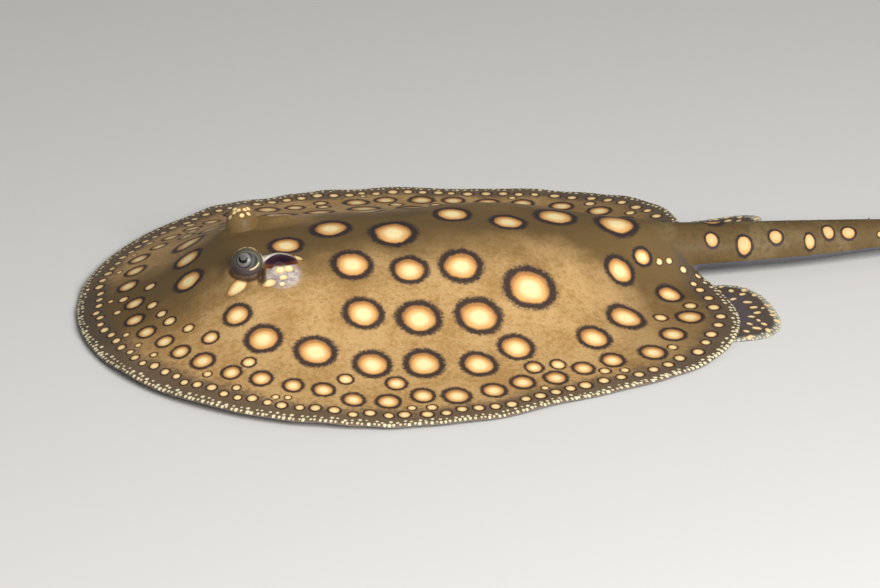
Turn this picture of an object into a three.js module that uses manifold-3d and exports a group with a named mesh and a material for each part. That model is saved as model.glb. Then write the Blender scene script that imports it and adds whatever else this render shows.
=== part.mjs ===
// A freshwater stingray, life-size, lying on a level floor with its fins spread.
//
// Millimetres. +X runs to the snout, +Y to the animal's left and +Z up. The origin is on the
// floor, under the centre of the disc. The animal is modelled whole and parted by thin cuts.

import * as THREE from 'three';
import { mergeVertices } from 'three/addons/utils/BufferGeometryUtils.js';
import Module from 'manifold-3d';

const wasm = await Module();
wasm.setup();

// ---------------------------------------------------------------- driving dimensions

const GAP = 0.3; // clear space between neighbouring pieces

// The outline of the disc: four turns, each a bearing from the snout in degrees and the distance
// from the centre to the margin there. The distance eases from one turn to the next.
const SNOUT = [0, 146];
const WAIST = [108, 127.5];
const HIND_CORNER = [152, 154];
const TAIL_NOTCH = [180, 136];
const DISC_TURNS = [SNOUT, WAIST, HIND_CORNER, TAIL_NOTCH];

// The rest of the disc. Each list gives [place, value] stations, with a smooth curve through them.
const MARGIN_LIFT = [ // bearing, counted positive to the left, and how far the margin is raised
  [-180, 2.2], [-172, 4.6], [-162, 6.4], [-152, 4], [-140, 0.8], [-125, 0], [-110, 0], [-75, 0],
  [-60, 1.5], [-45, 0.3], [-20, 0], [0, 0.2], [15, 1.2], [35, 2.2], [60, 2], [80, 0.5], [110, 0],
  [140, 0.2], [155, 1.8], [170, 2.4], [180, 2.2],
];
const MARGIN_HEIGHT = 2; // middle of the thin edge above the floor, where it isn't raised
const MARGIN_HALF_THICKNESS = 0.7;
const BELLY_SHARE = 0.7; // share of the reach that lies flat on the floor
const DISC_SPOKES = 80;
const TOP_RINGS = 14;
const BELLY_RINGS = [0.35, 0.7, 0.8, 0.9, 1];

// The dome of the disc: a front shape over the snout, a side shape over the wings.
const DOME_HEIGHT = 31;
const SIDE_BRIM_HEIGHT = 7; // share of the dome's height that falls evenly out to the margin
const SIDE_DOME_EDGE = [[0, 1], [35, 1], [90, 0.92], [130, 0.88], [180, 0.9]]; // by bearing
const FRONT_DOME_POWERS = [2.2, 1.25];
const FRONT_TO_SIDE = [25, 80]; // bearings between which the front shape gives way

// The raised middle of the body: skull, back and the root of the tail, along X.
const RIDGE_HEIGHT = [
  [-140, 19], [-122, 21.5], [-105, 23.5], [-80, 20.5], [-40, 11], [0, 5], [40, 5.5], [60, 7.5],
  [75, 9], [88, 6.5], [105, 2], [125, 0],
];
const RIDGE_HALF_WIDTH = [
  [-140, 15], [-110, 22], [-80, 36], [-40, 50], [0, 50], [40, 45], [70, 46], [88, 42], [100, 36],
  [146, 30],
];
const RIDGE_POWER = 2.5;
const RIDGE_FADE = { share: [0.9, 1], fromMiddle: [9, 15], bearing: [90, 130] }; // to thin fins

// Cuts between head, trunk and fins.
const CORE_HALF_WIDTH = [
  [-150, 14.5], [-128, 14.5], [-110, 16.5], [-85, 26], [-50, 40], [0, 50], [50, 50], [90, 42],
  [120, 26], [150, 6],
];
const NECK_X = 28;
const TAIL_ROOT_X = -125;

// Eyes and spiracles. The head is turned a little to the right.
const HEAD_TURN = THREE.MathUtils.degToRad(6);
const EYE_ROW_X = 71;
const EYE_RADIUS = 5.5;
const EYE_CENTRE = { y: 24.6, z: 37 };
const EYE_MOUND = { y: 21.3, z: 33.6, size: [8.6, 8, 9.9] };
const SPIRACLE_BACK = 12.5; // behind the eye row
const SPIRACLE_MOUND = { y: 19.8, z: 30, size: [10.5, 9, 8.2] };
const SPIRACLE_MOUTH = { y: 26.5, z: 34, size: [6.8, 5, 3.2] };

// Underside: mouth, nostrils, gill slits and vent, each a shallow groove.
const GROOVE_DEPTH = 1.2;
const MOUTH = { x: 92, length: 24, width: 2 };
const NOSTRIL = { x: 99, y: 9.5, length: 8, width: 2 };
const GILL_SLITS = { count: 5, firstX: 66, pitch: 12, firstY: 33, drift: 1.8, length: 8, width: 1.2 };
const VENT = { x: -104, length: 12, width: 2 };

// Pelvic fins, by the left one: a paddle between an ellipse and a rectangle.
const PELVIC_MIDDLE = [-139, 45];
const PELVIC_HALF_LENGTH = 22;
const PELVIC_HALF_WIDTH = 30;
const PELVIC_POWER = 2.6; // 2 is an ellipse, and more is squarer
const PELVIC_POINTS = 26; // corners of the outline
const PELVIC_THICKNESS = 1.7;
const PELVIC_EDGE_THICKNESS = 0.8;
const PELVIC_FLOOR_CLEARANCE = 0.2;
const PELVIC_HINGE_X = -132; // the free part starts here
const PELVIC_INNER_Y = PELVIC_MIDDLE[1] - PELVIC_HALF_WIDTH;
const PELVIC_POSE = {
  left: { spread: 1, width: 1, sweep: 0, rise: 0 },
  right: { spread: 1.3, width: 0.72, sweep: 0.35, rise: 4 },
};

// The tail, by X from its root to its tip.
const TAIL_TIP_X = -362;
const TAIL_SIDE = [[-125, 0], [-250, 0], [-290, -3], [-325, -10], [-362, -22]];
const TAIL_CENTRE_HEIGHT = [
  [-125, 14.4], [-150, 13.7], [-190, 12.4], [-230, 11.6], [-300, 6.4], [-362, 1.5],
];
const TAIL_HALF_HEIGHT = [
  [-125, 11.4], [-150, 10], [-190, 8.8], [-230, 6.7], [-300, 3.5], [-362, 0.9],
];
const TAIL_HALF_WIDTH = [
  [-125, 12.9], [-150, 12.9], [-190, 10.9], [-230, 8], [-300, 4], [-362, 1],
];
const TAIL_SIDES = 16;
const TAIL_STEP = 10;
const TAIL_CUTS = [-215, -292]; // base, middle and tip part here

const THORNS = { firstX: -140, lastX: -236, pitch: 8, height: 1.5, radius: 1.4, sunk: 0.6, sides: 5 };
const STING = { x: -242, length: 55, width: 3.4, thickness: 1.6, barbs: 14, barb: 0.45 };
const STING_DROP = THREE.MathUtils.degToRad(5);
const STING_TURN = THREE.MathUtils.degToRad(3);
const TAIL_FOLDS = {
  dorsal: { from: -300, to: -354, height: 2.4, side: 1 },
  ventral: { from: -246, to: -352, height: 3.6, side: -1 },
};
const FOLD_HALF_THICKNESS = 0.5;
const FOLD_FLOOR_CLEARANCE = 0.3;
const FOLD_STEP = 6;

const COLOURS = {
  skin: { color: 0xa8834f, roughness: 0.5 },
  fin: { color: 0x8d7148, roughness: 0.5 },
  margin: { color: 0x575048, roughness: 0.5 },
  tail: { color: 0x86704e, roughness: 0.55 },
  eye: { color: 0x2c2d2c, roughness: 0.12 },
  sting: { color: 0xd8cba8, roughness: 0.4 },
};

// ---------------------------------------------------------------- small helpers

const smooth = (from, to, value) => THREE.MathUtils.smoothstep(value, from, to);

/** Value at `place` on a smooth curve through [place, value] stations, given in either order. */
function along(stations, place) {
  const list = stations[0][0] < stations.at(-1)[0] ? stations : [...stations].reverse();
  const x = THREE.MathUtils.clamp(place, list[0][0], list.at(-1)[0]);
  const i = Math.max(0, Math.min(list.length - 2, list.findIndex((s) => s[0] > x) - 1));
  const at = list[0][0] <= x && x < list.at(-1)[0] ? i : list.length - 2;
  const slope = (k) => (k === 0 || k === list.length - 1 ? 0
    : (list[k + 1][1] - list[k - 1][1]) / (list[k + 1][0] - list[k - 1][0]));
  const [x0, v0] = list[at];
  const [x1, v1] = list[at + 1];
  const h = x1 - x0;
  const t = (x - x0) / h;
  return v0 * (2 * t ** 3 - 3 * t ** 2 + 1) + slope(at) * h * (t ** 3 - 2 * t ** 2 + t)
    + v1 * (3 * t ** 2 - 2 * t ** 3) + slope(at + 1) * h * (t ** 3 - t ** 2);
}

/** Solid of a closed geometry. */
function solid(geometry) {
  const bare = geometry.clone();
  bare.deleteAttribute('normal');
  bare.deleteAttribute('uv');
  const merged = mergeVertices(bare, 1e-4);
  return new wasm.Manifold(new wasm.Mesh({
    numProp: 3,
    vertProperties: new Float32Array(merged.attributes.position.array),
    triVerts: new Uint32Array(merged.index.array),
  }));
}

/** Geometry of a solid. */
function geometryOf(body) {
  const mesh = body.getMesh();
  const geometry = new THREE.BufferGeometry();
  geometry.setAttribute('position', new THREE.BufferAttribute(mesh.vertProperties, 3));
  geometry.setIndex(new THREE.BufferAttribute(mesh.triVerts, 1));
  geometry.computeVertexNormals();
  return geometry;
}

/** Geometry from points and triangles. */
function shell(points, triangles) {
  const geometry = new THREE.BufferGeometry();
  geometry.setAttribute('position', new THREE.Float32BufferAttribute(points.flat(), 3));
  geometry.setIndex(triangles.flat());
  return geometry;
}

/** Triangles between two neighbouring closed rings of `count` points, numbered from a and b. */
function band(a, b, count) {
  return Array.from({ length: count }, (_, i) => i).flatMap((i) => {
    const j = (i + 1) % count;
    return [[a + i, b + i, b + j], [a + i, b + j, a + j]];
  });
}

/** Closed solid through a row of rings, all of the same number of points, capped by fans. */
function ringSolid(rings, firstCentre, lastCentre) {
  const count = rings[0].length;
  const points = [...rings.flat(), firstCentre, lastCentre];
  const last = (rings.length - 1) * count;
  const triangles = rings.slice(1).flatMap((_, k) => band(k * count, (k + 1) * count, count));
  for (let i = 0; i < count; i += 1) {
    const j = (i + 1) % count;
    triangles.push([points.length - 2, i, j], [points.length - 1, last + j, last + i]);
  }
  return solid(shell(points, triangles));
}

function box(min, max) {
  const size = new THREE.Vector3().subVectors(max, min);
  const geometry = new THREE.BoxGeometry(size.x, size.y, size.z);
  geometry.translate(...new THREE.Vector3().addVectors(min, max).multiplyScalar(0.5).toArray());
  return solid(geometry);
}

/** The half of space, as a large box, with `axis` above or below `value`. */
function side(axis, value, above) {
  const min = new THREE.Vector3(-500, -500, -500);
  const max = new THREE.Vector3(500, 500, 500);
  (above ? min : max)[axis] = value;
  return box(min, max);
}

function ellipsoid([x, y, z], [a, b, c], segments = 18, rows = 10) {
  const geometry = new THREE.SphereGeometry(1, segments, rows);
  geometry.scale(a, b, c);
  geometry.translate(x, y, z);
  return solid(geometry);
}

/** Upright solid over a plan outline of [x, y] points. */
function column(outline, low, high) {
  const shape = new THREE.Shape(outline.map(([x, y]) => new THREE.Vector2(x, y)));
  const geometry = new THREE.ExtrudeGeometry(shape, { depth: high - low, bevelEnabled: false });
  geometry.translate(0, 0, low);
  return solid(geometry);
}

// ---------------------------------------------------------------- surfaces of the disc

const bearingOf = (x, y) => THREE.MathUtils.radToDeg(Math.atan2(y, x));
/** Distance from the centre of the disc to its margin at a bearing. */
function reachAt(bearing) {
  const away = Math.min(Math.abs(bearing), TAIL_NOTCH[0]);
  const next = Math.max(1, DISC_TURNS.findIndex(([turn]) => turn >= away));
  const [[start, from], [end, to]] = [DISC_TURNS[next - 1], DISC_TURNS[next]];
  const eased = (1 - Math.cos((Math.PI * (away - start)) / (end - start))) / 2;
  return THREE.MathUtils.lerp(from, to, eased);
}

/** Height of the back over the floor at a plan position, without eyes and spiracles. */
function backHeight(x, y) {
  const bearing = bearingOf(x, y);
  const share = Math.min(1, Math.hypot(x, y) / reachAt(bearing));
  const sideways = smooth(...FRONT_TO_SIDE, Math.abs(bearing));
  const edge = along(SIDE_DOME_EDGE, Math.abs(bearing));
  const bell = Math.cos((Math.PI / 2) * Math.min(1, share / edge)) ** 2;
  const sideDome = (DOME_HEIGHT - SIDE_BRIM_HEIGHT) * bell + SIDE_BRIM_HEIGHT * (1 - share);
  const [inner, outer] = FRONT_DOME_POWERS;
  const frontDome = DOME_HEIGHT * (1 - share ** inner) ** outer;
  const besideTail = smooth(...RIDGE_FADE.share, share)
    * smooth(...RIDGE_FADE.fromMiddle, Math.abs(y))
    * smooth(...RIDGE_FADE.bearing, Math.abs(bearing));
  const ridge = (1 - besideTail) * along(RIDGE_HEIGHT, x)
    * Math.exp(-((Math.abs(y) / along(RIDGE_HALF_WIDTH, x)) ** RIDGE_POWER));
  const lift = along(MARGIN_LIFT, bearing) * smooth(BELLY_SHARE, 1, share);
  return MARGIN_HEIGHT + MARGIN_HALF_THICKNESS + lift + ridge
    + THREE.MathUtils.lerp(frontDome, sideDome, sideways);
}

/** Height of the underside over the floor at a bearing and a share of the reach. */
function bellyHeight(bearing, share) {
  const edge = MARGIN_HEIGHT - MARGIN_HALF_THICKNESS + along(MARGIN_LIFT, bearing);
  return edge * smooth(BELLY_SHARE, 1, share);
}

/** The whole disc as one solid of rings from the top of the back over the margin to the belly. */
function discSolid() {
  const bearings = Array.from({ length: DISC_SPOKES }, (_, i) => -180 + (i * 360) / DISC_SPOKES);
  const spot = (bearing, share) => {
    const angle = THREE.MathUtils.degToRad(bearing);
    const distance = share * reachAt(bearing);
    return [distance * Math.cos(angle), distance * Math.sin(angle)];
  };
  const top = Array.from({ length: TOP_RINGS }, (_, k) => bearings.map((bearing) => {
    const [x, y] = spot(bearing, (k + 1) / TOP_RINGS);
    return [x, y, backHeight(x, y)];
  }));
  const belly = [...BELLY_RINGS].reverse().map((share) => bearings.map((bearing) => [
    ...spot(bearing, share), bellyHeight(bearing, share),
  ]));
  return ringSolid([...top, ...belly], [0, 0, backHeight(0, 0)], [0, 0, 0]);
}

// ---------------------------------------------------------------- head

/** Plan position and height of a feature of the head, turned with it. */
function onHead(behind, y, z) {
  const sin = Math.sin(HEAD_TURN);
  const cos = Math.cos(HEAD_TURN);
  return [EYE_ROW_X - behind * cos + y * sin, y * cos + behind * sin, z];
}

/** Grooves of the underside, each from a thin upright block. */
function undersideGrooves() {
  const groove = (x, y, lengthX, lengthY) => box(
    new THREE.Vector3(x - lengthX / 2, y - lengthY / 2, -1),
    new THREE.Vector3(x + lengthX / 2, y + lengthY / 2, GROOVE_DEPTH),
  );
  const grooves = [groove(MOUTH.x, 0, MOUTH.width, MOUTH.length)];
  for (const hand of [1, -1]) {
    grooves.push(groove(NOSTRIL.x, hand * NOSTRIL.y, NOSTRIL.width, NOSTRIL.length));
    for (let i = 0; i < GILL_SLITS.count; i += 1) {
      const y = hand * (GILL_SLITS.firstY - i * GILL_SLITS.drift);
      grooves.push(groove(GILL_SLITS.firstX - i * GILL_SLITS.pitch, y, GILL_SLITS.width,
        GILL_SLITS.length));
    }
  }
  grooves.push(groove(VENT.x, 0, VENT.length, VENT.width));
  return grooves.reduce((all, next) => all.add(next));
}

/** Adds the mounds of eyes and spiracles to the head and hollows their openings. */
function withEyesAndSpiracles(head) {
  let body = head;
  const mirrored = (hand, { y, z }, behind = 0) => onHead(behind, hand * y, z);
  for (const hand of [1, -1]) {
    body = body.add(ellipsoid(mirrored(hand, SPIRACLE_MOUND, SPIRACLE_BACK), SPIRACLE_MOUND.size));
    body = body.add(ellipsoid(mirrored(hand, EYE_MOUND), EYE_MOUND.size));
  }
  for (const hand of [1, -1]) {
    body = body.subtract(
      ellipsoid(mirrored(hand, SPIRACLE_MOUTH, SPIRACLE_BACK), SPIRACLE_MOUTH.size, 14, 8),
    );
    const socket = EYE_RADIUS + GAP;
    body = body.subtract(ellipsoid(mirrored(hand, EYE_CENTRE), [socket, socket, socket]));
  }
  return body;
}

function eyeball(hand) {
  const centre = onHead(0, hand * EYE_CENTRE.y, EYE_CENTRE.z);
  return ellipsoid(centre, [EYE_RADIUS, EYE_RADIUS, EYE_RADIUS], 20, 14);
}

// ---------------------------------------------------------------- pelvic fins

/** Places a point of the left fin's plan on either side, with that fin's pose. */
function pelvicPoint([x, y], z, hand) {
  const { spread, width, sweep, rise } = hand > 0 ? PELVIC_POSE.left : PELVIC_POSE.right;
  const free = Math.max(0, PELVIC_HINGE_X - x);
  const length = PELVIC_HINGE_X - (PELVIC_MIDDLE[0] - PELVIC_HALF_LENGTH);
  const out = y - PELVIC_INNER_Y;
  return [
    x - free * (spread - 1) - out * sweep,
    hand * (PELVIC_INNER_Y + out * width),
    z + rise * (free / length) ** 2,
  ];
}

/** Distance from the middle of a pelvic fin to its outline, at an angle from straight ahead. */
function pelvicReach(angle) {
  const ahead = Math.abs(Math.cos(angle)) / PELVIC_HALF_LENGTH;
  const aside = Math.abs(Math.sin(angle)) / PELVIC_HALF_WIDTH;
  return (ahead ** PELVIC_POWER + aside ** PELVIC_POWER) ** (-1 / PELVIC_POWER);
}

/** A fin as two rings, underside and top, that thin from the middle to the edge. */
function pelvicFin(hand, grow = 0) {
  const low = PELVIC_FLOOR_CLEARANCE - grow;
  const [middleX, middleY] = PELVIC_MIDDLE;
  const order = Array.from({ length: PELVIC_POINTS }, (__, i) => {
    const angle = (hand * i * 2 * Math.PI) / PELVIC_POINTS;
    const out = pelvicReach(angle) + grow;
    return [middleX + out * Math.cos(angle), middleY + out * Math.sin(angle)];
  });
  const ring = (z) => order.map((point) => pelvicPoint(point, z, hand));
  return ringSolid(
    [ring(low + PELVIC_EDGE_THICKNESS + 2 * grow), ring(low)],
    pelvicPoint(PELVIC_MIDDLE, low + PELVIC_THICKNESS + 2 * grow, hand),
    pelvicPoint(PELVIC_MIDDLE, low, hand),
  );
}

// ---------------------------------------------------------------- tail

const tailCentre = (x) => [x, along(TAIL_SIDE, x), along(TAIL_CENTRE_HEIGHT, x)];

/** Horizontal unit vector across the tail, to the animal's left. */
function tailAcross(x) {
  const [, ahead] = tailCentre(x + 1);
  const [, behind] = tailCentre(x - 1);
  return new THREE.Vector2(-(ahead - behind) / 2, 1).normalize();
}

/** Point of the tail's skin at x, at an angle from its left side over its top. */
function tailSkin(x, angle, grow = 0) {
  const [cx, cy, cz] = tailCentre(x);
  const across = tailAcross(x);
  const out = (along(TAIL_HALF_WIDTH, x) + grow) * Math.cos(angle);
  const up = (along(TAIL_HALF_HEIGHT, x) + grow) * Math.sin(angle);
  return [cx + across.x * out, cy + across.y * out, cz + up];
}

/** A length of the tail between two cuts, from front to back. */
function tailLength(from, to) {
  const steps = Math.max(2, Math.round((from - to) / TAIL_STEP));
  const rings = Array.from({ length: steps + 1 }, (_, k) => {
    const x = from + ((to - from) * k) / steps;
    return Array.from({ length: TAIL_SIDES }, (__, i) => (
      tailSkin(x, (i * 2 * Math.PI) / TAIL_SIDES)
    ));
  });
  return ringSolid(rings, tailCentre(from), tailCentre(to));
}

/** Small thorns down the middle of the tail's top, joined to the piece they grow from. */
function withThorns(piece, from, to) {
  let body = piece;
  for (let x = THORNS.firstX; x >= THORNS.lastX; x -= THORNS.pitch) {
    if (x < from - THORNS.radius && x > to + THORNS.radius) {
      const thorn = new THREE.ConeGeometry(THORNS.radius, THORNS.height + THORNS.sunk, THORNS.sides);
      thorn.rotateX(Math.PI / 2);
      const [px, py, pz] = tailSkin(x, Math.PI / 2);
      thorn.translate(px, py, pz + (THORNS.height - THORNS.sunk) / 2);
      body = body.add(solid(thorn));
    }
  }
  return body;
}

/** The sting: a flat spine with barbed edges that lies on the tail and points back. */
function sting() {
  const half = STING.width / 2;
  const edge = (share) => half * Math.sqrt(1 - share ** 2);
  const shape = new THREE.Shape();
  shape.moveTo(0, -half * 0.8);
  for (const hand of [-1, 1]) {
    for (let i = 0; i < STING.barbs; i += 1) {
      const k = hand < 0 ? i : STING.barbs - 1 - i;
      const share = 0.25 + (0.68 * k) / STING.barbs;
      const next = 0.25 + (0.68 * (k + 0.8)) / STING.barbs;
      const root = [-share * STING.length, hand * (edge(share) - STING.barb)];
      const tip = [-(share + (next - share) * 0.4) * STING.length, hand * edge(share)];
      (hand < 0 ? [root, tip] : [tip, root]).forEach(([x, y]) => shape.lineTo(x, y));
    }
    if (hand < 0) shape.lineTo(-STING.length, 0);
  }
  shape.lineTo(0, half * 0.8);
  const blade = new THREE.ExtrudeGeometry(shape, { depth: STING.thickness, bevelEnabled: false });
  blade.rotateY(-STING_DROP);
  blade.rotateZ(STING_TURN);
  const [, y, top] = tailSkin(STING.x, Math.PI / 2);
  blade.translate(STING.x, y, top + GAP);
  return solid(blade);
}

/** A low fin fold that runs along the top or the underside of the tail. */
function tailFold({ from, to, height, side: hand }) {
  const steps = Math.round((from - to) / FOLD_STEP);
  const rings = Array.from({ length: steps + 1 }, (_, k) => {
    const x = from + ((to - from) * k) / steps;
    const rise = 0.6 + height * Math.sin((Math.PI * (k + 0.5)) / (steps + 1)) ** 0.7;
    const angle = hand * (Math.PI / 2);
    const [px, py, root] = tailSkin(x, angle, GAP);
    const across = tailAcross(x);
    const crest = Math.max(FOLD_FLOOR_CLEARANCE, root + hand * rise);
    const corner = (out, z) => [px + across.x * out, py + across.y * out, z];
    const ring = [
      corner(FOLD_HALF_THICKNESS, root), corner(FOLD_HALF_THICKNESS * 0.6, crest),
      corner(-FOLD_HALF_THICKNESS * 0.6, crest), corner(-FOLD_HALF_THICKNESS, root),
    ];
    return hand > 0 ? ring : ring.reverse();
  });
  const middle = (ring) => [0, 1, 2].map((axis) => (ring[0][axis] + ring[2][axis]) / 2);
  return ringSolid(rings, middle(rings[0]), middle(rings.at(-1)));
}

// ---------------------------------------------------------------- parting and assembly

/** Plan column round head and trunk, wider by `grow` than the parting line. */
function coreColumn(grow) {
  const [from, to] = [CORE_HALF_WIDTH[0][0], CORE_HALF_WIDTH.at(-1)[0]];
  const count = 24;
  const xs = Array.from({ length: count + 1 }, (_, i) => from + ((to - from) * i) / count);
  const right = xs.map((x) => [x, -along(CORE_HALF_WIDTH, x) - grow]);
  const left = [...xs].reverse().map((x) => [x, along(CORE_HALF_WIDTH, x) + grow]);
  return column([...right, ...left], -5, 80);
}

const group = new THREE.Group();

function place(name, body, finish) {
  const mesh = new THREE.Mesh(geometryOf(body), new THREE.MeshStandardMaterial(finish));
  mesh.name = name;
  group.add(mesh);
}

const disc = discSolid().subtract(undersideGrooves());
const core = disc.intersect(coreColumn(-GAP / 2));
const wings = disc.subtract(coreColumn(GAP / 2));

place('head', withEyesAndSpiracles(core.intersect(side('x', NECK_X + GAP / 2, true))),
  COLOURS.skin);
place('trunk', core.intersect(side('x', NECK_X - GAP / 2, false))
  .intersect(side('x', TAIL_ROOT_X + GAP / 2, true)), COLOURS.skin);

for (const [name, hand] of [['left', 1], ['right', -1]]) {
  place(`pectoral_fin_${name}`, wings.intersect(side('y', 0, hand > 0))
    .subtract(pelvicFin(hand, GAP)), COLOURS.fin);
  place(`pelvic_fin_${name}`, pelvicFin(hand), COLOURS.margin);
  place(`eye_${name}`, eyeball(hand), COLOURS.eye);
}

const tailEnds = [TAIL_ROOT_X, ...TAIL_CUTS, TAIL_TIP_X];
['tail_base', 'tail_middle', 'tail_tip'].forEach((name, i) => {
  const from = tailEnds[i] - GAP / 2;
  const to = tailEnds[i + 1] + GAP / 2;
  place(name, withThorns(tailLength(from, to), from, to), COLOURS.tail);
});
place('tail_fold_dorsal', tailFold(TAIL_FOLDS.dorsal), COLOURS.margin);
place('tail_fold_ventral', tailFold(TAIL_FOLDS.ventral), COLOURS.margin);
place('sting', sting(), COLOURS.sting);

export default group;
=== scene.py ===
"""Freshwater stingray, life-size, lying on a level floor: one skin, two eyes and the sting.

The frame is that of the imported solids: +X to the snout, +Y to the animal's left, +Z up, with the
origin on the floor under the centre of the disc. Shapes are worked out in millimetres, and the
meshes are set in metres.
"""

import logging
import math
import random
from dataclasses import dataclass
from enum import Enum

import bpy
import numpy as np
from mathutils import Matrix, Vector, noise


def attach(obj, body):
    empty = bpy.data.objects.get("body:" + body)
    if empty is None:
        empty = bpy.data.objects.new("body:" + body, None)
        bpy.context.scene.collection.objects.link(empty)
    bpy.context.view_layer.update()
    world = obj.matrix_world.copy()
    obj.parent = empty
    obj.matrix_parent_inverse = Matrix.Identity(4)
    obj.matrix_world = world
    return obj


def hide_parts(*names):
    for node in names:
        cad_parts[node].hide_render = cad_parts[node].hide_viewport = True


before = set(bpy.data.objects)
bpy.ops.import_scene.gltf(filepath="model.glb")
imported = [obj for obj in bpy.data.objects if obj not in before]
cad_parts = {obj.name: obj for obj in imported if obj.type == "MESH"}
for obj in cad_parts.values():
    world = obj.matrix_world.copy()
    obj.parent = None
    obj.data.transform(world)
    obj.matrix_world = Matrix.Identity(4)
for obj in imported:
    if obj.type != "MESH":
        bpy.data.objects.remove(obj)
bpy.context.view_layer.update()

MM = 0.001
BODY = "root"
HANDS = {"left": 1, "right": -1}

log = logging.getLogger("stingray")


# ---------------------------------------------------------------- curves and small maths


def smooth(low: float, high: float, value: np.ndarray) -> np.ndarray:
    """Rises softly from 0 at low to 1 at high; low may be the larger of the two."""
    share = np.clip((value - low) / np.subtract(high, low), 0, 1)
    return share * share * (3 - 2 * share)


def blend_low(a: np.ndarray, b: np.ndarray, width: float) -> np.ndarray:
    """The lower of two fields, rounded over where they cross.

    Args:
        a: First field.
        b: Second field.
        width: Difference within which the two run together.

    Returns:
        The rounded lower field.
    """
    share = np.clip(0.5 + 0.5 * (b - a) / width, 0, 1)
    return b * (1 - share) + a * share - width * share * (1 - share)


def hump(value: np.ndarray, middle: float, width: float) -> np.ndarray:
    """A soft bump of height 1 at middle that is gone a width to either side."""
    return smooth(1, 0, np.abs(value - middle) / width)


@dataclass(frozen=True)
class Curve:
    """A smooth curve through stations, each a place and its value, in rising order of place."""

    stations: tuple[tuple[float, float], ...]

    def at(self, place: np.ndarray) -> np.ndarray:
        """Reads the curve.

        Args:
            place: Places to read, held to the first and last station.

        Returns:
            The value at each place.
        """
        x, v = np.array(self.stations, float).T
        slope = np.zeros_like(v)
        slope[1:-1] = (v[2:] - v[:-2]) / (x[2:] - x[:-2])
        held = np.clip(place, x[0], x[-1])
        i = np.clip(np.searchsorted(x, held, side="right") - 1, 0, len(x) - 2)
        h = x[i + 1] - x[i]
        t = (held - x[i]) / h
        ends = v[i] * (2 * t**3 - 3 * t**2 + 1) + v[i + 1] * (3 * t**2 - 2 * t**3)
        return ends + slope[i] * h * (t**3 - 2 * t**2 + t) + slope[i + 1] * h * (t**3 - t**2)


@dataclass(frozen=True)
class Swell:
    """A line that eases from one turn to the next, level at each, in rising order of place."""

    turns: tuple[tuple[float, float], ...]

    def at(self, place: np.ndarray) -> np.ndarray:
        """Reads the line.

        Args:
            place: Places to read, held to the first and last turn.

        Returns:
            The value at each place.
        """
        x, v = np.array(self.turns, float).T
        held = np.clip(place, x[0], x[-1])
        i = np.clip(np.searchsorted(x, held, side="right") - 1, 0, len(x) - 2)
        eased = (1 - np.cos(np.pi * (held - x[i]) / (x[i + 1] - x[i]))) / 2
        return v[i] + (v[i + 1] - v[i]) * eased


# ---------------------------------------------------------------- mesh helpers


def deselect() -> None:
    """Leaves nothing selected."""
    bpy.ops.object.select_all(action="DESELECT")


def activate(piece: bpy.types.Object) -> None:
    """Makes a piece the only selected and the active one."""
    deselect()
    piece.select_set(True)
    bpy.context.view_layer.objects.active = piece


def ball(name: str, segments: int, rings: int) -> bpy.types.Object:
    """A UV sphere of radius 1 m round the origin, the start of every rounded piece.

    Args:
        name: Name of the piece.
        segments: Meridians.
        rings: Rings from pole to pole.

    Returns:
        The new piece.
    """
    deselect()
    bpy.ops.mesh.primitive_uv_sphere_add(segments=segments, ring_count=rings, radius=1)
    piece = bpy.context.active_object
    piece.name = piece.data.name = name
    return piece


def points_of(piece: bpy.types.Object) -> np.ndarray:
    """Vertex places of a piece, one row each, in its own units."""
    flat = np.empty(len(piece.data.vertices) * 3, np.float32)
    piece.data.vertices.foreach_get("co", flat)
    return flat.reshape(-1, 3).astype(float)


def set_points(piece: bpy.types.Object, points: np.ndarray) -> None:
    """Puts the vertices of a piece at new places."""
    piece.data.vertices.foreach_set("co", points.astype(np.float32).ravel())
    piece.data.update()


def edges_of(piece: bpy.types.Object) -> np.ndarray:
    """Vertex pairs of the edges of a piece."""
    flat = np.empty(len(piece.data.edges) * 2, np.int32)
    piece.data.edges.foreach_get("vertices", flat)
    return flat.reshape(-1, 2)


def face_centres(piece: bpy.types.Object) -> np.ndarray:
    """Middle of each face of a piece."""
    flat = np.empty(len(piece.data.polygons) * 3, np.float32)
    piece.data.polygons.foreach_get("center", flat)
    return flat.reshape(-1, 3).astype(float)


def neighbour_mean(points: np.ndarray, edges: np.ndarray) -> np.ndarray:
    """The mean place of each vertex's neighbours.

    Args:
        points: Vertex places.
        edges: Vertex pairs.

    Returns:
        One mean place for each vertex.
    """
    total = np.zeros_like(points)
    count = np.zeros(len(points))
    for a, b in (edges.T, edges.T[::-1]):
        np.add.at(total, a, points[b])
        np.add.at(count, a, 1)
    return total / np.maximum(count, 1)[:, None]


def refine(piece: bpy.types.Object, chosen: np.ndarray) -> None:
    """Subdivides the chosen faces of a piece once.

    Args:
        piece: The piece.
        chosen: One truth value for each face.
    """
    activate(piece)
    bpy.ops.object.mode_set(mode="EDIT")
    bpy.ops.mesh.select_mode(type="FACE")
    bpy.ops.mesh.select_all(action="DESELECT")
    bpy.ops.object.mode_set(mode="OBJECT")
    piece.data.polygons.foreach_set("select", chosen)
    bpy.ops.object.mode_set(mode="EDIT")
    bpy.ops.mesh.subdivide(number_cuts=1)
    bpy.ops.object.mode_set(mode="OBJECT")


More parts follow.
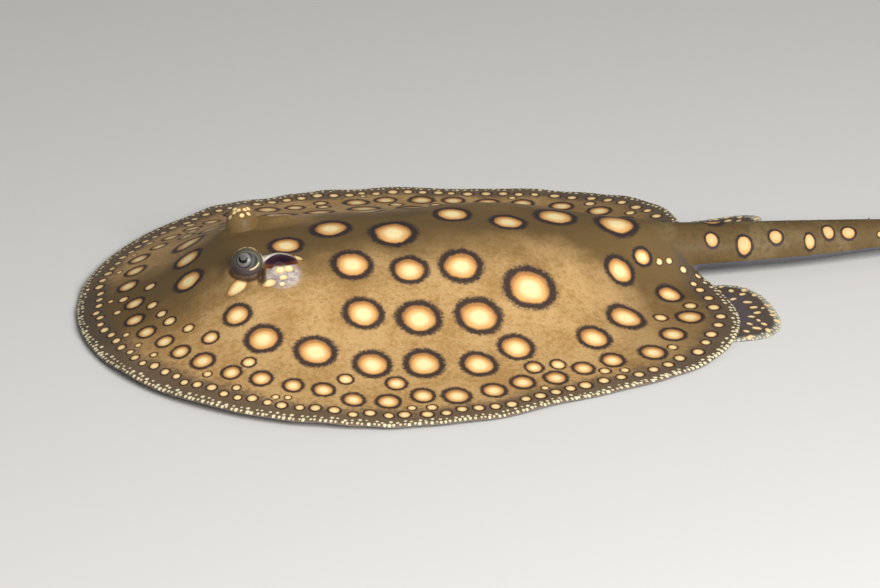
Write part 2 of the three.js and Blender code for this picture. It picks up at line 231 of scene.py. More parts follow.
def soften(piece: bpy.types.Object, chosen: np.ndarray, repeat: int) -> None:
    """Smooths the chosen vertices of a piece.

    Args:
        piece: The piece.
        chosen: One truth value for each vertex.
        repeat: How many times.
    """
    activate(piece)
    bpy.ops.object.mode_set(mode="EDIT")
    bpy.ops.mesh.select_mode(type="VERT")
    bpy.ops.mesh.select_all(action="DESELECT")
    bpy.ops.object.mode_set(mode="OBJECT")
    piece.data.vertices.foreach_set("select", chosen)
    bpy.ops.object.mode_set(mode="EDIT")
    bpy.ops.mesh.vertices_smooth(factor=0.5, repeat=repeat)
    bpy.ops.object.mode_set(mode="OBJECT")


def outward_normals(piece: bpy.types.Object) -> None:
    """Turns all faces of a closed piece to look outward."""
    activate(piece)
    bpy.ops.object.mode_set(mode="EDIT")
    bpy.ops.mesh.select_all(action="SELECT")
    bpy.ops.mesh.normals_make_consistent(inside=False)
    bpy.ops.object.mode_set(mode="OBJECT")


def finish_modifier(piece: bpy.types.Object, kind: str, **settings: object) -> None:
    """Adds a modifier to a piece and applies it.

    Args:
        piece: The piece.
        kind: Type of the modifier.
        **settings: Its settings by name.
    """
    activate(piece)
    modifier = piece.modifiers.new(kind.title(), kind)
    for name, value in settings.items():
        setattr(modifier, name, value)
    bpy.ops.object.modifier_apply(modifier=modifier.name)


def unite(piece: bpy.types.Object, other: bpy.types.Object) -> None:
    """Joins another closed piece to a closed piece, and takes the other away.

    Args:
        piece: The piece that stays.
        other: The piece that becomes a part of it.
    """
    finish_modifier(piece, "BOOLEAN", operation="UNION", object=other, solver="MANIFOLD")
    bpy.data.objects.remove(other)


def set_attribute(
    mesh: bpy.types.Mesh, name: str, values: np.ndarray, domain: str = "POINT"
) -> None:
    """Stores three numbers for each vertex or face corner of a mesh.

    Args:
        mesh: The mesh.
        name: Name of the attribute.
        values: One row of three numbers each.
        domain: "POINT" or "CORNER".
    """
    attribute = mesh.attributes.new(name, "FLOAT_VECTOR", domain)
    attribute.data.foreach_set("vector", values.astype(np.float32).ravel())


# ---------------------------------------------------------------- form of the body


@dataclass(frozen=True)
class DiscForm:
    """The disc as a height over the floor at each plan place, in millimetres."""

    # The outline turns at the snout, the waist, the hind corner and the notch for the tail.
    reach: Swell = Swell(((0, 146), (108, 127.5), (152, 154), (180, 136)))
    lift: Curve = Curve((
        (-180, 2.2), (-172, 4.6), (-162, 6.4), (-152, 4), (-140, 0.8), (-125, 0), (-110, 0),
        (-75, 0), (-60, 1.5), (-45, 0.3), (-20, 0), (0, 0.2), (15, 1.2), (35, 2.2), (60, 2),
        (80, 0.5), (110, 0), (140, 0.2), (155, 1.8), (170, 2.4), (180, 2.2),
    ))
    mean_reach: float = 138
    margin_height: float = 2
    margin_half_thickness: float = 0.7
    belly_share: float = 0.7
    dome_height: float = 31
    brim_height: float = 7
    side_edge: Curve = Curve(((0, 1), (35, 1), (90, 0.92), (130, 0.88), (180, 0.9)))
    front_powers: tuple[float, float] = (2.2, 1.25)
    front_to_side: tuple[float, float] = (25, 80)
    ridge_height: Curve = Curve((
        (-140, 19), (-122, 21.5), (-105, 23.5), (-80, 20.5), (-40, 11), (0, 5), (40, 5.5),
        (60, 7.5), (75, 9), (88, 6.5), (105, 2), (125, 0),
    ))
    ridge_half_width: Curve = Curve((
        (-140, 15), (-110, 22), (-80, 36), (-40, 50), (0, 50), (40, 45), (70, 46), (88, 42),
        (100, 36), (146, 30),
    ))
    ridge_power: float = 2.5
    ridge_fade: tuple[float, float] = (0.9, 1)
    ripple: float = 0.3

    def bearing(self, x: np.ndarray, y: np.ndarray) -> np.ndarray:
        """Bearing from the snout in degrees, positive to the left."""
        return np.degrees(np.arctan2(y, x))

    def share(self, x: np.ndarray, y: np.ndarray) -> np.ndarray:
        """Distance from the centre as a share of the reach to the margin."""
        return np.hypot(x, y) / self.reach.at(np.abs(self.bearing(x, y)))

    def wave(self, bearing: np.ndarray, share: np.ndarray) -> np.ndarray:
        """Lift and ripple of the margin.

        Args:
            bearing: Bearings in degrees.
            share: Shares of the reach.

        Returns:
            Height that they add, 0 over the flat of the belly.
        """
        angle = np.radians(bearing)
        ripple = np.sin(17 * angle + 1) + 0.7 * np.sin(31 * angle + 2.5 * np.sin(5 * angle))
        rise = self.lift.at(bearing) * smooth(self.belly_share, 1, share)
        return rise + self.ripple * ripple * smooth(0.86, 1, share)

    def back(self, x: np.ndarray, y: np.ndarray) -> np.ndarray:
        """Height of the back, without eyes and spiracles.

        Args:
            x: Places along the body.
            y: Places across it.

        Returns:
            Height over the floor.
        """
        bearing = self.bearing(x, y)
        turn = np.abs(bearing)
        share = np.minimum(1, self.share(x, y))
        sideways = smooth(*self.front_to_side, turn)
        bell = np.cos(np.pi / 2 * np.minimum(1, share / self.side_edge.at(turn))) ** 2
        side = (self.dome_height - self.brim_height) * bell + self.brim_height * (1 - share)
        inner, outer = self.front_powers
        front = self.dome_height * (1 - share**inner) ** outer
        across = np.abs(y) / self.ridge_half_width.at(x)
        ridge = self.ridge_height.at(x) * np.exp(-(across**self.ridge_power))
        ridge = ridge * (1 - smooth(90, 130, turn) * smooth(*self.ridge_fade, share))
        edge = self.margin_height + self.margin_half_thickness
        return edge + self.wave(bearing, share) + ridge + front * (1 - sideways) + side * sideways

    def belly(self, bearing: np.ndarray, share: np.ndarray) -> np.ndarray:
        """Height of the underside.

        Args:
            bearing: Bearings in degrees.
            share: Shares of the reach.

        Returns:
            Height over the floor, 0 over the flat of the belly.
        """
        edge = self.margin_height - self.margin_half_thickness
        return edge * smooth(self.belly_share, 1, share) + self.wave(bearing, share)


@dataclass(frozen=True)
class HeadForm:
    """Eyes and spiracles, in the head's own frame: ahead of the eyes, outward, up."""

    turn: float = math.radians(6)
    eye_row_x: float = 71
    eye_radius: float = 5.5
    eye_centre: tuple[float, float, float] = (0, 24.6, 37)
    eye_mound: tuple[float, float, float] = (0, 21.3, 33.6)
    eye_mound_size: tuple[float, float, float] = (7.5, 7.7, 8.5)
    shoulder: tuple[float, float, float] = (-3, 20.5, 28)
    shoulder_size: tuple[float, float, float] = (13, 10, 6)
    lid_axis: tuple[float, float, float] = (0.2, 0.8, 0.56)
    lid_side: float = 60
    lid_top: float = 35
    lid_bottom: float = 45
    lid_thickness: float = 0.5
    gaze: tuple[float, float, float] = (0.4, 0.75, 0.52)
    spiracle_mound: tuple[float, float, float] = (-13.5, 21.5, 30.5)
    spiracle_mound_size: tuple[float, float, float] = (12, 7.6, 7.6)
    spiracle: tuple[float, float, float] = (-15, 26, 36)
    spiracle_facing: tuple[float, float, float] = (-0.12, 0.78, 0.6)
    spiracle_middle: float = 0.4
    spiracle_half_length: float = 7.5
    spiracle_tilt: float = 0.06
    spiracle_rise: float = 4.8
    spiracle_fall: float = 1.2
    spiracle_power: float = 1.5
    spiracle_corner: float = 4
    spiracle_depth: float = 5.4
    groove_ahead: float = 9.6
    groove_slant: float = -0.1

    def to_head(self, points: np.ndarray, hand: int) -> np.ndarray:
        """Turns body places into the head's frame on one side.

        Args:
            points: Places in the body's frame, one row each.
            hand: 1 for the left side, -1 for the right.

        Returns:
            Rows of ahead, outward and up.
        """
        x, y, z = points[:, 0] - self.eye_row_x, points[:, 1], points[:, 2]
        sin, cos = math.sin(self.turn), math.cos(self.turn)
        return np.stack([x * cos - y * sin, hand * (x * sin + y * cos), z], 1)

    def from_head(self, local: np.ndarray, hand: int) -> np.ndarray:
        """Turns rows of ahead, outward and up back into body places.

        Args:
            local: Rows in the head's frame.
            hand: 1 for the left side, -1 for the right.

        Returns:
            Places in the body's frame.
        """
        ahead, left, up = local[:, 0], hand * local[:, 1], local[:, 2]
        sin, cos = math.sin(self.turn), math.cos(self.turn)
        return np.stack([
            self.eye_row_x + ahead * cos + left * sin, left * cos - ahead * sin, up,
        ], 1)

    def eye_place(self, hand: int) -> Vector:
        """Centre of an eyeball in the body's frame, in millimetres."""
        return Vector(self.from_head(np.array([self.eye_centre]), hand)[0])

    def direction(self, local: np.ndarray, hand: int) -> np.ndarray:
        """A direction of the head's frame as a unit vector of the body's frame."""
        ends = self.from_head(np.array([local, (0, 0, 0)]), hand)
        return (ends[0] - ends[1]) / np.linalg.norm(ends[0] - ends[1])

    def axes(self, facing: tuple[float, float, float]) -> np.ndarray:
        """Unit vectors of a frame that looks out along a direction of the head's frame.

        Args:
            facing: The direction.

        Returns:
            Rows of ahead across it, up across it and out along it.
        """
        out = np.array(facing) / np.linalg.norm(facing)
        ahead = np.cross(out, (0, 0, 1))
        ahead = ahead / np.linalg.norm(ahead)
        return np.stack([ahead, np.cross(ahead, out), out])

    def lid_edge(self, ahead: np.ndarray, up: np.ndarray) -> np.ndarray:
        """How far the lids stand open.

        Args:
            ahead: Part of the direction that points ahead across the lids' axis.
            up: Part of it that points up across that axis.

        Returns:
            Angle between the lids' axis and their edge on that side, in degrees.
        """
        size = np.maximum(np.hypot(ahead, up), 1e-6)
        reach = np.where(up > 0, self.lid_top, self.lid_bottom)
        return 1 / np.hypot(ahead / size / self.lid_side, up / size / reach)

    def lids(self, local: np.ndarray) -> tuple[np.ndarray, np.ndarray, np.ndarray]:
        """Where places lie round the lids.

        Args:
            local: Rows in the head's frame.

        Returns:
            Degrees outside the lids' edge, rows of direction in the lids' frame, and distance
            from the eyeball's centre.
        """
        offset = local - np.array(self.eye_centre)
        distance = np.maximum(np.linalg.norm(offset, axis=1), 1e-6)
        direction = offset @ self.axes(self.lid_axis).T / distance[:, None]
        turn = np.degrees(np.arccos(np.clip(direction[:, 2], -1, 1)))
        return turn - self.lid_edge(direction[:, 0], direction[:, 1]), direction, distance

    def mound_distance(self, offsets: np.ndarray) -> np.ndarray:
        """Distance from the eyeball's centre to the mound's surface.

        Args:
            offsets: Unit directions in the head's frame.

        Returns:
            The distance along each.
        """
        size = np.array(self.eye_mound_size)
        start = (np.array(self.eye_centre) - np.array(self.eye_mound)) / size
        ray = offsets / size
        a = (ray**2).sum(1)
        b = ray @ start
        return (np.sqrt(b**2 - a * (start @ start - 1)) - b) / a

    def spiracle_place(self, local: np.ndarray) -> np.ndarray:
        """Rows of ahead, up and out from the middle of the spiracle's mouth."""
        return (local - np.array(self.spiracle)) @ self.axes(self.spiracle_facing).T

    def spiracle_ring(self, ahead: np.ndarray, up: np.ndarray) -> np.ndarray:
        """Distance from the middle of the spiracle's mouth, 1 on its edge.

        Args:
            ahead: Places along the mouth.
            up: Places across it.

        Returns:
            The distance.
        """
        height = up - self.spiracle_tilt * ahead
        length = np.abs(ahead - self.spiracle_middle) / self.spiracle_half_length
        fall = self.spiracle_fall + self.spiracle_corner * smooth(3, 8, ahead)
        arch = np.abs(height) / np.where(height > 0, self.spiracle_rise, fall)
        power = self.spiracle_power
        return (length**power + arch**power) ** (1 / power)


@dataclass(frozen=True)
class TailForm:
    """The tail by X, in millimetres."""

    root_x: float = -104
    tip_x: float = -362
    side: Curve = Curve(((-362, -22), (-325, -10), (-290, -3), (-250, 0), (-125, 0)))
    height: Curve = Curve((
        (-362, 1.5), (-300, 6.4), (-230, 11.6), (-190, 12.4), (-150, 13.7), (-125, 14.4),
    ))
    half_height: Curve = Curve((
        (-362, 0.9), (-300, 3.5), (-230, 6.7), (-190, 8.8), (-150, 10), (-134, 10.9),
        (-124, 11.9), (-112, 11.4), (-104, 8),
    ))
    half_width: Curve = Curve((
        (-362, 1), (-300, 4), (-230, 8), (-190, 10.9), (-150, 12.9), (-134, 13.2), (-124, 13),
        (-112, 11), (-104, 7),
    ))
    dorsal_fold: tuple[float, float, float] = (-354, -300, 2.4)
    ventral_fold: tuple[float, float, float] = (-352, -246, 3.6)
    fold_half_thickness: float = 0.6
    side_ridge: float = 0.7
    side_ridge_angle: float = -22
    # The fold of skin over the sting's root: its X, length, half width and height.
    sheath: tuple[float, float, float, float] = (-240, 6.5, 3, 2.5)

    def across(self, x: np.ndarray) -> np.ndarray:
        """Level unit vectors across the tail, to the animal's left."""
        slope = (self.side.at(x + 1) - self.side.at(x - 1)) / 2
        return np.stack([-slope, np.ones_like(slope)], 1) / np.hypot(slope, 1)[:, None]

    def fold(self, x: np.ndarray, bounds: tuple[float, float, float]) -> np.ndarray:
        """Height of a fin fold of the tail.

        Args:
            x: Places along the tail.
            bounds: Where the fold ends and starts, and its height.

        Returns:
            Its height at each place.
        """
        low, high, height = bounds
        share = np.clip((x - low) / (high - low), 0, 1)
        return height * np.sin(np.pi * share) ** 0.7

    def skin(self, x: np.ndarray, angle: np.ndarray) -> np.ndarray:
        """Places on the tail's skin.

        Args:
            x: Places along the tail.
            angle: Angles from its left side over its top, in radians.

        Returns:
            Places in the body's frame, in millimetres.
        """
        half_width, half_height = self.half_width.at(x), self.half_height.at(x)
        cos, sin = np.cos(angle), np.sin(angle)
        ridge_turn = np.degrees(np.arctan2(sin, np.abs(cos))) - self.side_ridge_angle
        ridge = self.side_ridge * np.exp(-((ridge_turn / 14) ** 2)) * smooth(-330, -240, x)
        out, up = (half_width + ridge) * cos, half_height * sin
        near_middle = np.exp(-((out / self.fold_half_thickness) ** 2))
        up = up + near_middle * np.where(
            sin > 0, self.fold(x, self.dorsal_fold), -self.fold(x, self.ventral_fold)
        )
        root, length, half, rise = self.sheath
        over_sting = np.exp(-(((x - root) / length) ** 2) - (out / half) ** 4) * (sin > 0)
        up = up + rise * over_sting
        level = self.across(x) * out[:, None]
        z = np.maximum(0.15, self.height.at(x) + up)
        return np.stack([x + level[:, 0], self.side.at(x) + level[:, 1], z], 1)

    def angle(self, points: np.ndarray) -> np.ndarray:
        """Angle of places round the tail, from its left side over its top, in radians."""
        out = points[:, 1] - self.side.at(points[:, 0])
        up = points[:, 2] - self.height.at(points[:, 0])
        width, height = self.half_width.at(points[:, 0]), self.half_height.at(points[:, 0])
        return np.arctan2(up / height, out / width)


@dataclass(frozen=True)
class PelvicForm:
    """A pelvic fin in plan, by the left one, in millimetres."""

    middle: tuple[float, float] = (-139, 45)
    half_length: float = 22
    half_root: float = 33
    half_width: float = 30
    power: float = 2.6
    thickness: float = 1.7
    edge_thickness: float = 0.8
    floor_clearance: float = 0.2
    hinge_x: float = -132
    root_rise: float = 2.2
    ray_pitch: float = 6.5
    inner_y: float = 15
    spread: tuple[float, float] = (1, 1.3)
    width: tuple[float, float] = (1, 0.72)
    sweep: tuple[float, float] = (0, 0.35)
    rise: tuple[float, float] = (0, 4)

    def rim(self, angle: np.ndarray) -> np.ndarray:
        """Distance from the middle to the outline.

        Args:
            angle: Angles round the middle, in radians.

        Returns:
            The distance at each angle.
        """
        cos, sin = np.cos(angle), np.sin(angle)
        ahead = np.abs(cos) / np.where(cos > 0, self.half_root, self.half_length)
        aside = np.abs(sin) / self.half_width
        return (ahead**self.power + aside**self.power) ** (-1 / self.power)

    def posed(self, points: np.ndarray, hand: int) -> np.ndarray:
        """Puts places of the left fin on either side, with that fin's pose.

        Args:
            points: Places of the left fin at rest.
            hand: 1 for the left fin, -1 for the right.

        Returns:
            Places in the body's frame.
        """
        spread, width, sweep, rise = (
            pair[hand < 0] for pair in (self.spread, self.width, self.sweep, self.rise)
        )
        free = np.maximum(0, self.hinge_x - points[:, 0])
        length = self.hinge_x - (self.middle[0] - self.half_length)
        out = points[:, 1] - self.inner_y
        return np.stack([
            points[:, 0] - free * (spread - 1) - out * sweep,
            hand * (self.inner_y + out * width),
            points[:, 2] + rise * (free / length) ** 2,
        ], 1)

    def unposed(self, points: np.ndarray, hand: int) -> np.ndarray:
        """Plan places of the left fin at rest, from places of a posed fin."""
        out = (hand * points[:, 1] - self.inner_y) / self.width[hand < 0]
        x = points[:, 0] + out * self.sweep[hand < 0]
        free = np.maximum(0, self.hinge_x - x)
        x = np.where(free > 0, self.hinge_x - free / self.spread[hand < 0], x)
        return np.stack([x, self.inner_y + out], 1)


DISC = DiscForm()
HEAD = HeadForm()
TAIL = TailForm()
PELVIC = PelvicForm()


# ---------------------------------------------------------------- eyespots


@dataclass(frozen=True)
class Spot:
    """An eyespot: its middle, its frame on the skin and its half width, in millimetres."""

    place: np.ndarray
    along: np.ndarray
    across: np.ndarray
    half: float
    stretch: float
    kind: float


# Pale spots on and above the flap under the spiracle: ahead, up, length, height.
# The spot at 6.2 ahead and 4.2 up, on the front of the upper lip, is a painted highlight; spots above
# the mouth go on the left side only.
FLAP_ROW = (
    (1.9, -3.4, 6.2, 4.6), (-2.1, -3.2, 6, 4.4), (1.1, -7, 5.4, 3.4), (7.4, -8.6, 9, 5),
    (2.2, -10, 3.8, 2.8), (6.2, 4.2, 6, 4.2), (-7.8, 2.2, 6.6, 5),
)
# Pale spots on the top of the eye's mound, by direction from the eyeball.
MOUND_ROW = (
    (3.4, -2.5, 5.6), (-3.9, -2.5, 5.7), (0, -6, 3.5), (5.5, -5, 2.5), (-3.5, -6, 4.5),
    (1.4, -4.2, 5.9), (-1.8, -4, 6), (3.6, -4.6, 4.8),
)


@dataclass
class Markings:
    """Lays out the eyespots of the back, the head, the margin, the pelvic fins and the tail."""

    seed: int = 12
    # Outer width of an eyespot by its share of the reach, and how much narrower it is in front.
    width: Curve = Curve((
        (0, 23), (0.3, 22.5), (0.46, 24.5), (0.62, 21), (0.75, 17.5), (0.83, 14), (0.89, 10),
        (0.93, 7), (0.96, 5),
    ))
    snout_narrower: float = 0.18
    # Row down the ridge: first X, last X, and the step as a share of the width.
    ridge: tuple[float, float, float] = (54, -112, 1.25)
    # Rows that follow the outline: first and last share of the reach, and the step from row to
    # row in the middle and at the margin, along a row, and astray, as shares of the width.
    rows: tuple[float, float] = (0.28, 0.965)
    row_step: tuple[float, float] = (1.16, 0.94)
    spot_step: float = 1.24
    jitter: float = 0.2
    # Small spots tried between the rows, and where.
    fillers: int = 700
    filler_share: tuple[float, float] = (0.76, 0.95)
    # Kept free: X, Y and radius at the tail's root, and radii at the eye's mound and spiracle.
    tail_root: tuple[float, float, float] = (-132, 0, 17)
    head_clear: tuple[float, float] = (12, 12)
    # Touching pairs: their share of the spots, and the widths that may be one.
    pair_share: float = 0.06
    pair_width: tuple[float, float] = (9, 18)
    # Under the eye: ahead of it, outward of it, and width.
    under_eye: tuple[float, float, float] = (5, 7, 15)
    # Beside the tail's root: count, first X, step, distance from the middle; and the widths.
    root_row: tuple[int, float, float, float] = (4, -115, 6, 17.5)
    root_width: tuple[float, float] = (3.4, 5.2)
    # On the tail: lowest and highest angle over the left side and first X; and the last X.
    tail_rows: tuple[tuple[float, float, float], ...] = ((14, 56, -142.0), (120, 160, -146.0))
    tail_end: float = -345
    # On a pelvic fin: first and last angle; and share of the rim, step and width of each row.
    fin_angles: tuple[float, float] = (1.3, 4.6)
    fin_rows: tuple[tuple[float, float, float], ...] = (
        (0.9, 5.4, 3.4), (0.76, 6, 3.6), (0.6, 6.5, 3.6), (0.44, 6.5, 3.2),
    )
    pale_mound_width: float = 3.5

    def laid(self, places: np.ndarray, width: float, stretch: float, kind: float) -> Spot:
        """A spot on any surface.

        Args:
            places: Its middle, a place a little along the surface and one across it.
            width: Outer width along.
            stretch: How much wider it is across.
            kind: 0 for a full eyespot, 1 for a plain pale one.

        Returns:
            The spot in its frame on the skin.
        """
        along = (places[1] - places[0]) / np.linalg.norm(places[1] - places[0])
        across = places[2] - places[0]
        across = across - along * (along @ across)
        return Spot(places[0], along, across / np.linalg.norm(across), width / 2, stretch, kind)

    def on_disc(
        self, x: float, y: float, width: float, kind: float, stretch: float = 1, turn: float = 0
    ) -> Spot:
        """A spot on the back of the disc.

        Args:
            x: Place along the disc.
            y: Place across it.
            width: Outer width.
            kind: 0 for a full eyespot, 1 for a plain pale one.
            stretch: How much wider it is across than along.
            turn: How far its length is turned from the X axis, in degrees.

        Returns:
            The spot in its frame on the skin.
        """
        cos, sin = math.cos(math.radians(turn)), math.sin(math.radians(turn))
        xs, ys = x + np.array([0, cos, -sin]), y + np.array([0, sin, cos])
        places = np.stack([xs, ys, DISC.back(xs, ys)], 1)
        return self.laid(places, width, stretch, kind)

    def width_at(self, share: float, x: float) -> float:
        """Outer width that an eyespot has, by its share of the reach, narrower to the snout."""
        return float(self.width.at(share)) * (1 - self.snout_narrower * float(smooth(20, 120, x)))

    def clear(self, spots: list[Spot], x: float, y: float, width: float) -> bool:
        """Whether a spot of that width would stand clear of the others, the eyes and spiracles.

        Args:
            spots: The spots that are there already.
            x: Place along the disc.
            y: Place across it.
            width: Outer width.

        Returns:
            Whether it would.
        """
        held = [self.tail_root]
        for hand in HANDS.values():
            places = HEAD.from_head(np.array([HEAD.eye_mound, HEAD.spiracle]), hand)
            held += [(*place[:2], radius) for place, radius in zip(places, self.head_clear)]
        if any(math.hypot(a - x, b - y) < radius + width * 0.4 for a, b, radius in held):
            return False
        return all(
            math.hypot(s.place[0] - x, s.place[1] - y) > (s.half + width / 2) * 0.98
            for s in spots
        )

    def offer(
        self, spots: list[Spot], dice: random.Random, share: float, bearing: float, scale: float
    ) -> float:
        """Adds an eyespot, or now and then a pair that touch, where there is room.

        Args:
            spots: The spots so far, which it adds to.
            dice: Source of chance.
            share: Distance from the centre as a share of the reach.
            bearing: Bearing from the snout in degrees.
            scale: Width, as a share of the usual one there.

        Returns:
            The width that was tried.
        """
        turn = math.radians(bearing)
        reach = float(DISC.reach.at(abs((bearing + 180) % 360 - 180)))
        width = self.width_at(share, share * reach * math.cos(turn)) * scale
        distance = share * reach + dice.uniform(-1, 1) * self.jitter * width
        x, y = distance * math.cos(turn), distance * math.sin(turn)
        kind = 0.6 * float(smooth(11, 8, width))
        paired = dice.random() < self.pair_share
        if distance < reach - width / 2 - 1 and self.clear(spots, x, y, width):
            narrowest, widest = self.pair_width
            if paired and narrowest < width < widest:
                spots += [
                    self.on_disc(x, y + side * width / 3, width * 0.75, kind) for side in (-1, 1)
                ]
            else:
                spots.append(self.on_disc(x, y, width, kind))
        return width

    def back_spots(self) -> list[Spot]:
        """Spots of the back: under the eyes, beside the tail, down the ridge, in rows and between."""
        dice = random.Random(self.seed)
        spots = []
        for hand in HANDS.values():
            ahead, outward, width = self.under_eye
            local = np.array(HEAD.eye_centre) + (ahead, outward, 0)
            x, y, _ = HEAD.from_head(local[None], hand)[0]
            spots.append(self.on_disc(x, y, width, 0.9, 0.6, hand * 20))
        for hand in HANDS.values():
            count, first, pitch, aside = self.root_row
            spots += [
                self.on_disc(
                    first - (i + dice.uniform(-0.25, 0.25)) * pitch,
                    hand * (aside + dice.uniform(-1, 1)), dice.uniform(*self.root_width), 0.8,
                )
                for i in range(count)
            ]
        x, last, step = self.ridge
        side = 1
        while x > last:
            width = self.width_at(0.1, x) * dice.uniform(0.8, 1.05)
            y = side * dice.uniform(2, 9)
            if self.clear(spots, x, y, width):
                spots.append(self.on_disc(x, y, width, 0))
            x -= width * step
            side = -side
        share, last = self.rows
        while share < last:
            bearing = dice.uniform(-180, 180)
            end = bearing + 360
            while bearing < end:
                width = self.offer(spots, dice, share, bearing, dice.uniform(0.82, 1.12))
                bearing += math.degrees(width * self.spot_step / (share * DISC.mean_reach))
            inner, outer = self.row_step
            step = inner + (outer - inner) * float(smooth(0.7, 0.9, share))
            share += step * float(self.width.at(share)) / DISC.mean_reach
        for _ in range(self.fillers):
            share = dice.uniform(*self.filler_share)
            self.offer(spots, dice, share, dice.uniform(-180, 180), dice.uniform(0.45, 0.7))
        return spots + self.face_spots(1) + self.face_spots(-1)

    def face_spots(self, hand: int) -> list[Spot]:
        """Pale spots on the flap under the spiracle and on the eye's mound, with a painted highlight
        on the left spiracle's lip.

        Args:
            hand: Side of the head.

        Returns:
            The spots.
        """
        axes = HEAD.axes(HEAD.spiracle_facing)
        spots = []
        # Spots above the mouth, the painted highlight on the lip among them, go on the left side
        # only.
        for ahead, up, length, height in (row for row in FLAP_ROW if hand > 0 or row[1] < 1):
            steps = np.array([(ahead, up, 0.6), (ahead + 1, up, 0.6), (ahead, up + 1, 0.6)])
            places = HEAD.from_head(np.array(HEAD.spiracle) + steps @ axes, hand)
            spots.append(self.laid(places, length, height / length, 1))
        for toward in MOUND_ROW:
            steps = np.array(toward) + np.array([(0, 0, 0), (0.1, 0, 0), (0, 0.1, 0)])
            steps = steps / np.linalg.norm(steps, axis=1)[:, None]
            local = HEAD.eye_centre + steps * HEAD.mound_distance(steps)[:, None]
            places = HEAD.from_head(local, hand)
            spots.append(self.laid(places, self.pale_mound_width, 1, 1))
        return spots

    def fin_spots(self, hand: int) -> list[Spot]:
        """Pale long spots in rows along the edge of a pelvic fin.

        Args:
            hand: Side of the fin.

        Returns:
            The spots.
        """
        dice = random.Random(self.seed + 3)
        spots = []
        first, last = self.fin_angles
        for share, pitch, width in self.fin_rows:
            angle = first + dice.uniform(0, 0.2)
            while angle < last:
                rim = float(PELVIC.rim(np.array([angle]))[0])
                angle += pitch * dice.uniform(0.75, 1.3) / (share * rim)
                steps = np.array([share, share + 0.02, share]) + dice.uniform(-0.05, 0.05)
                turns = angle + np.array([0, dice.uniform(-0.03, 0.03), 0.02])
                distance = steps * PELVIC.rim(turns)
                places = PELVIC.posed(np.stack([
                    PELVIC.middle[0] + distance * np.cos(turns),
                    PELVIC.middle[1] + distance * np.sin(turns),
                    np.full(3, PELVIC.floor_clearance + PELVIC.thickness * 0.8),
                ], 1), hand)
                length = width * dice.uniform(1, 2)
                if all(math.dist(places[0], s.place) > s.half + length * 0.3 for s in spots):
                    spots.append(self.laid(places, length, 0.6, 1))
        return spots

    def tail_spots(self) -> list[Spot]:
        """Eyespots of the tail, in one row on each side of its top."""
        dice = random.Random(self.seed + 2)
        spots = []
        for low, high, x in self.tail_rows:
            while x > self.tail_end:
                width = float(TAIL.half_width.at(x)) * dice.uniform(0.5, 1.3)
                turn = math.radians(dice.uniform(low, high))
                places = TAIL.skin(np.array([x, x - 1, x]), np.array([turn, turn, turn + 0.05]))
                spots.append(self.laid(places, width, dice.uniform(0.7, 1.7), 0.5))
                x -= width * dice.uniform(1.2, 2)
        return spots

    def read(
        self, spots: list[Spot], centres: np.ndarray, corners: np.ndarray, owner: np.ndarray,
        offers: np.ndarray,
    ) -> np.ndarray:
        """Offset of each face corner from the spot that its face lies in or nearest to.

        Each spot is first moved along its own normal onto the skin under it.

        Args:
            spots: The spots.
            centres: Middle of each face.
            corners: Place of each face corner.
            owner: Number of the face of each corner.
            offers: Truth value for each face, whether it takes spots.

        Returns:
            Rows of offset along and across in half widths, and the spot's kind.
        """
        places = np.array([spot.place for spot in spots])
        frames = np.array([
            (
                spot.along / spot.half, spot.across / (spot.half * spot.stretch),
                np.cross(spot.along, spot.across) / spot.half,
            )
            for spot in spots
        ])
        best = np.full(len(centres), 1e9)
        chosen = np.zeros(len(centres), int)
        for number, spot in enumerate(spots):
            reach = spot.half * 2 * max(1, spot.stretch)
            near = np.flatnonzero(offers & (np.abs(centres - spot.place).max(1) < reach))
            offset = (centres[near] - spot.place) @ frames[number].T
            level = offset[np.hypot(offset[:, 0], offset[:, 1]) < 0.5, 2]
            lift = float(np.median(level)) if len(level) else 0.0
            places[number] += np.cross(spot.along, spot.across) * spot.half * lift
            distance = np.linalg.norm(offset - (0, 0, lift), axis=1)
            better = distance < best[near]
            best[near[better]] = distance[better]
            chosen[near[better]] = number
        pick = chosen[owner]
        offset = np.einsum("nij,nj->ni", frames[pick], corners - places[pick])
        flat = np.maximum(np.hypot(offset[:, 0], offset[:, 1]), 1e-6)
        bend = np.minimum(np.linalg.norm(offset, axis=1) / flat, 8)
        kinds = np.array([spot.kind for spot in spots])[pick]
        rows = np.stack([offset[:, 0] * bend, offset[:, 1] * bend, kinds], 1)
        rows[best[owner] > 1e8] = (9, 9, 0)
        return rows


# ---------------------------------------------------------------- shader writing


